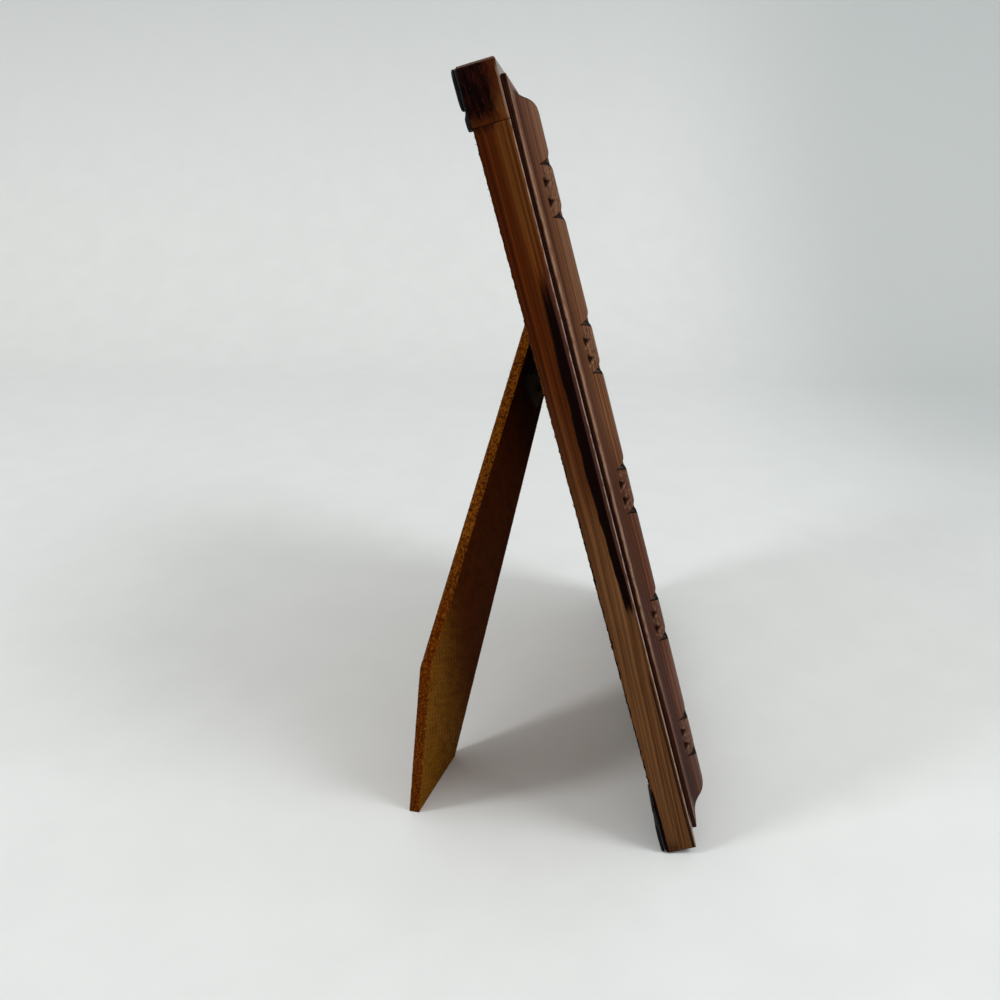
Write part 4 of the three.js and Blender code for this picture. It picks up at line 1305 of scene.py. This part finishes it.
over_edge, point_depth, point_aside = 0.5, -1.25, 35
places, turns, names = [], [], []
for number, step in ((1, -point_aside), (2, point_aside)):
    middle = FRAME_HEIGHT / 2 + step
    for side, x, z, turn in (
        ("left", over_edge - INNER, middle, 0),
        ("right", INNER - over_edge, middle, 0),
        ("top", step, TOP_JOINT - over_edge, math.pi / 2),
        ("bottom", step, RAIL_WIDTH + over_edge, math.pi / 2),
    ):
        places.append((x, point_depth, z))
        turns.append((math.pi / 2, turn, 0))
        names.append(f"point_{side}_{number}")
row_of("flat_points", TABS, places, {"turn": turns}, STANDING, "frame", names, "bright_steel", BRIGHT_STEEL)
for part, matrix, body, depth, reach, shank in (
    ("board", HINGE, "frame", -0.6, RIVET_REACH, 4.0),
    ("leg", LEG, "leg", 4.9, -RIVET_REACH, 4.6),
):
    places = [(x, depth, reach) for x in (-RIVET_ASIDE, RIVET_ASIDE)]
    nodes = [f"rivet_{part}_{number}" for number in (1, 2)]
    sizes = {"Shank length": shank}
    row_of("rivets_" + part, RIVETS, places, {}, matrix, body, nodes, "black_steel", BLACK_STEEL, **sizes)

# %% [markdown]
# ## Plain pieces kept from the frame
# The board, the hinge, the brads, the glass and the two cards are plain,
# so the CAD pieces stay and only take their materials. A fine bevel on the edges catches the light.
# The insert is bare paper, because no picture belongs to the part.


# %% Paper, card and glass
def paper(name, low, high, depth):
    material, tree = blank(name)
    place = frame_place(tree)
    fibre = cloud(stretched(place, 2.2, 2.2, 1.1), 1, 5, 0.7)
    stain = cloud(place, 0.03, 3)
    tone = mix(tree, fibre.ramp(0.35, 0.65), low, high)
    tone = mix(tree, stain.ramp(0.5, 0.75) * 0.3, tone, low)
    return dressed(material, tone, fibre.ramp(0.3, 0.7, 0.8, 0.95), 0.2, fibre, depth)


def glass():
    material, tree = blank("clear_glass")
    smear = cloud(stretched(frame_place(tree), 0.05, 0.05, 0.02), 1, 4, 0.6)
    tone = mix(tree, smear.ramp(0.3, 0.7), "#f2f8f5", "#fbfdfc")
    roughness = smear.ramp(0.45, 0.75, 0.0, 0.06)
    dressed(material, tone, roughness, 0.5, more={"Transmission Weight": 1, "IOR": 1.5})
    clear = add(tree, "ShaderNodeBsdfTransparent").outputs[0]
    rays = add(tree, "ShaderNodeLightPath")
    passing = Value(rays.outputs["Is Shadow Ray"]).most(Value(rays.outputs["Is Diffuse Ray"]))
    both = add(tree, "ShaderNodeMixShader", (passing, tree.nodes["Principled BSDF"].outputs[0], clear))
    fill(tree.nodes["Material Output"].inputs["Surface"], both.outputs[0])
    return material


def board_face():
    material, tree = blank("board_back")
    place = frame_place(tree)
    fibre = use(tree, SCREEN, Place=place, Pitch=1.6)["Fibre"]
    blotch = cloud(place, 0.05, 4)
    tone = layered(tree, mix(tree, fibre, "#6a431a", "#8f6127"), (blotch.ramp(0.35, 0.7) * 0.5, "#7a4d1c"))
    return dressed(material, tone, fibre * -0.12 + 0.58, 0.3, fibre, 0.04)


print("ready: paper, glass, board_face")

# %% Materials on the kept pieces
kept = {
    "insert_card": paper("plain_paper", "#e6e1d3", "#f3efe4", 0.03),
    "filler_card": paper("grey_card", "#8f8b80", "#a5a096", 0.06),
    "glass_pane": glass(),
    "backing_board": board_face(),
}
kept.update({name: BLACK_STEEL for name in ("hinge_board_leaf", "hinge_leg_leaf", "hinge_pin")})
kept.update({name: DULL_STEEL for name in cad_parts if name.startswith("brad_")})
for name, material in kept.items():
    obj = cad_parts[name]
    obj.data.materials.clear()
    obj.data.materials.append(material)
    bevel = obj.modifiers.new("eased_edges", "BEVEL")
    bevel.width, bevel.segments, bevel.limit_method = 0.12 * MM, 2, "ANGLE"
    bevel.angle_limit = math.radians(50)
print("kept from the frame:", ", ".join(kept))

# %% [markdown]
# ## Loose fibres
# The sawn rear edge of the near rail and the edges of the leg end in tiny slivers that the saw pulled loose.
# A tree strews thin cones along a line of points. Each point carries the way out of the wood.


# %% Fibre tree and materials
def fibre_tree():
    sizes = {"Share": 0.3, "Length": 0.9, "Thickness": 0.06, "Spread": 0.8, "Seed": 1}
    tree, given = new_tree("loose_fibres", sizes)
    seed = Value(given["Seed"])
    chosen = Value(given["Share"]).above(Value(chance(tree, 0.0, 1.0, Seed=seed + 1)))
    bend = {"Vector": chance(tree, (-1, -1, -1), (1, 1, 1), Seed=seed + 2), "Scale": given["Spread"]}
    bend = add(tree, "ShaderNodeVectorMath", bend, operation="SCALE").outputs[0]
    way = named(tree, "way", "FLOAT_VECTOR")
    aim = add(tree, "ShaderNodeVectorMath", (way, bend), operation="ADD").outputs[0]
    sliver = {"Vertices": 5, "Side Segments": 2, "Radius Top": 0.012}
    sliver.update({"Radius Bottom": given["Thickness"], "Depth": given["Length"]})
    copies = {
        "Selection": chosen,
        "Rotation": add(tree, "FunctionNodeAlignRotationToVector", {"Vector": aim}, axis="Z").outputs[0],
        "Scale": joined(1.0, 1.0, Value(chance(tree, 0.35, 1.2, Seed=seed + 3))),
    }
    return copied(tree, given, shaped(tree, "MeshCone", sliver), **copies)


def fibre_look(name, dark, light):
    material, tree = blank(name)
    tone = mix(tree, cloud(object_place(tree), 400, 3).ramp(0.4, 0.6), dark, light)
    return dressed(material, tone, 0.8, 0.1)


FIBRES = fibre_tree()
PINE_FIBRE = fibre_look("pine_fibre", "#2c1409", "#7d5433")
BOARD_FIBRE = fibre_look("board_fibre", "#7a4d12", "#c0923c")
print("tree:", FIBRES.name, "and materials:", PINE_FIBRE.name, BOARD_FIBRE.name)

# %% Strewn fibres
# Along the near rail's rear edge
line = [(-SIDE + 0.12, -0.12, z) for z in np.arange(3, 193, 0.6)]
ways = {"way": [(-0.4, 1, 0)] * len(line)}
sizes = {"Length": 0.55, "Share": 0.32, "Seed": 4}
row_of("rail_fibres", FIBRES, line, ways, STANDING, "frame", [], "stained_pine", PINE_FIBRE, 35, **sizes)

# Round both faces of the leg, a little inside them
places, ways = [], []
for face, depth, lean in zip(leg_corners(), (1.9, 4.6), (-0.3, 0.3)):
    for start, end, out in sides_of(face):
        for share in np.arange(0.02, 0.98, 0.7 / np.linalg.norm(end - start)):
            p = start + (end - start) * share - out * 0.15
            places.append((p[0], depth, p[1]))
            ways.append((out[0], lean, out[1]))
sizes = {"Length": 0.6, "Share": 0.55, "Thickness": 0.08, "Seed": 9}
row_of("leg_fibres", FIBRES, places, {"way": ways}, LEG, "leg", [], "hardboard", BOARD_FIBRE, 35, **sizes)

# %% [markdown]
# ## Sizes
# The box of the finished looks is set beside the box of the CAD pieces in one table.

# %% Sizes
low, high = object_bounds()
sizes = {"cad": [list(cad_low), list(cad_high)], "visual": [list(low), list(high)]}
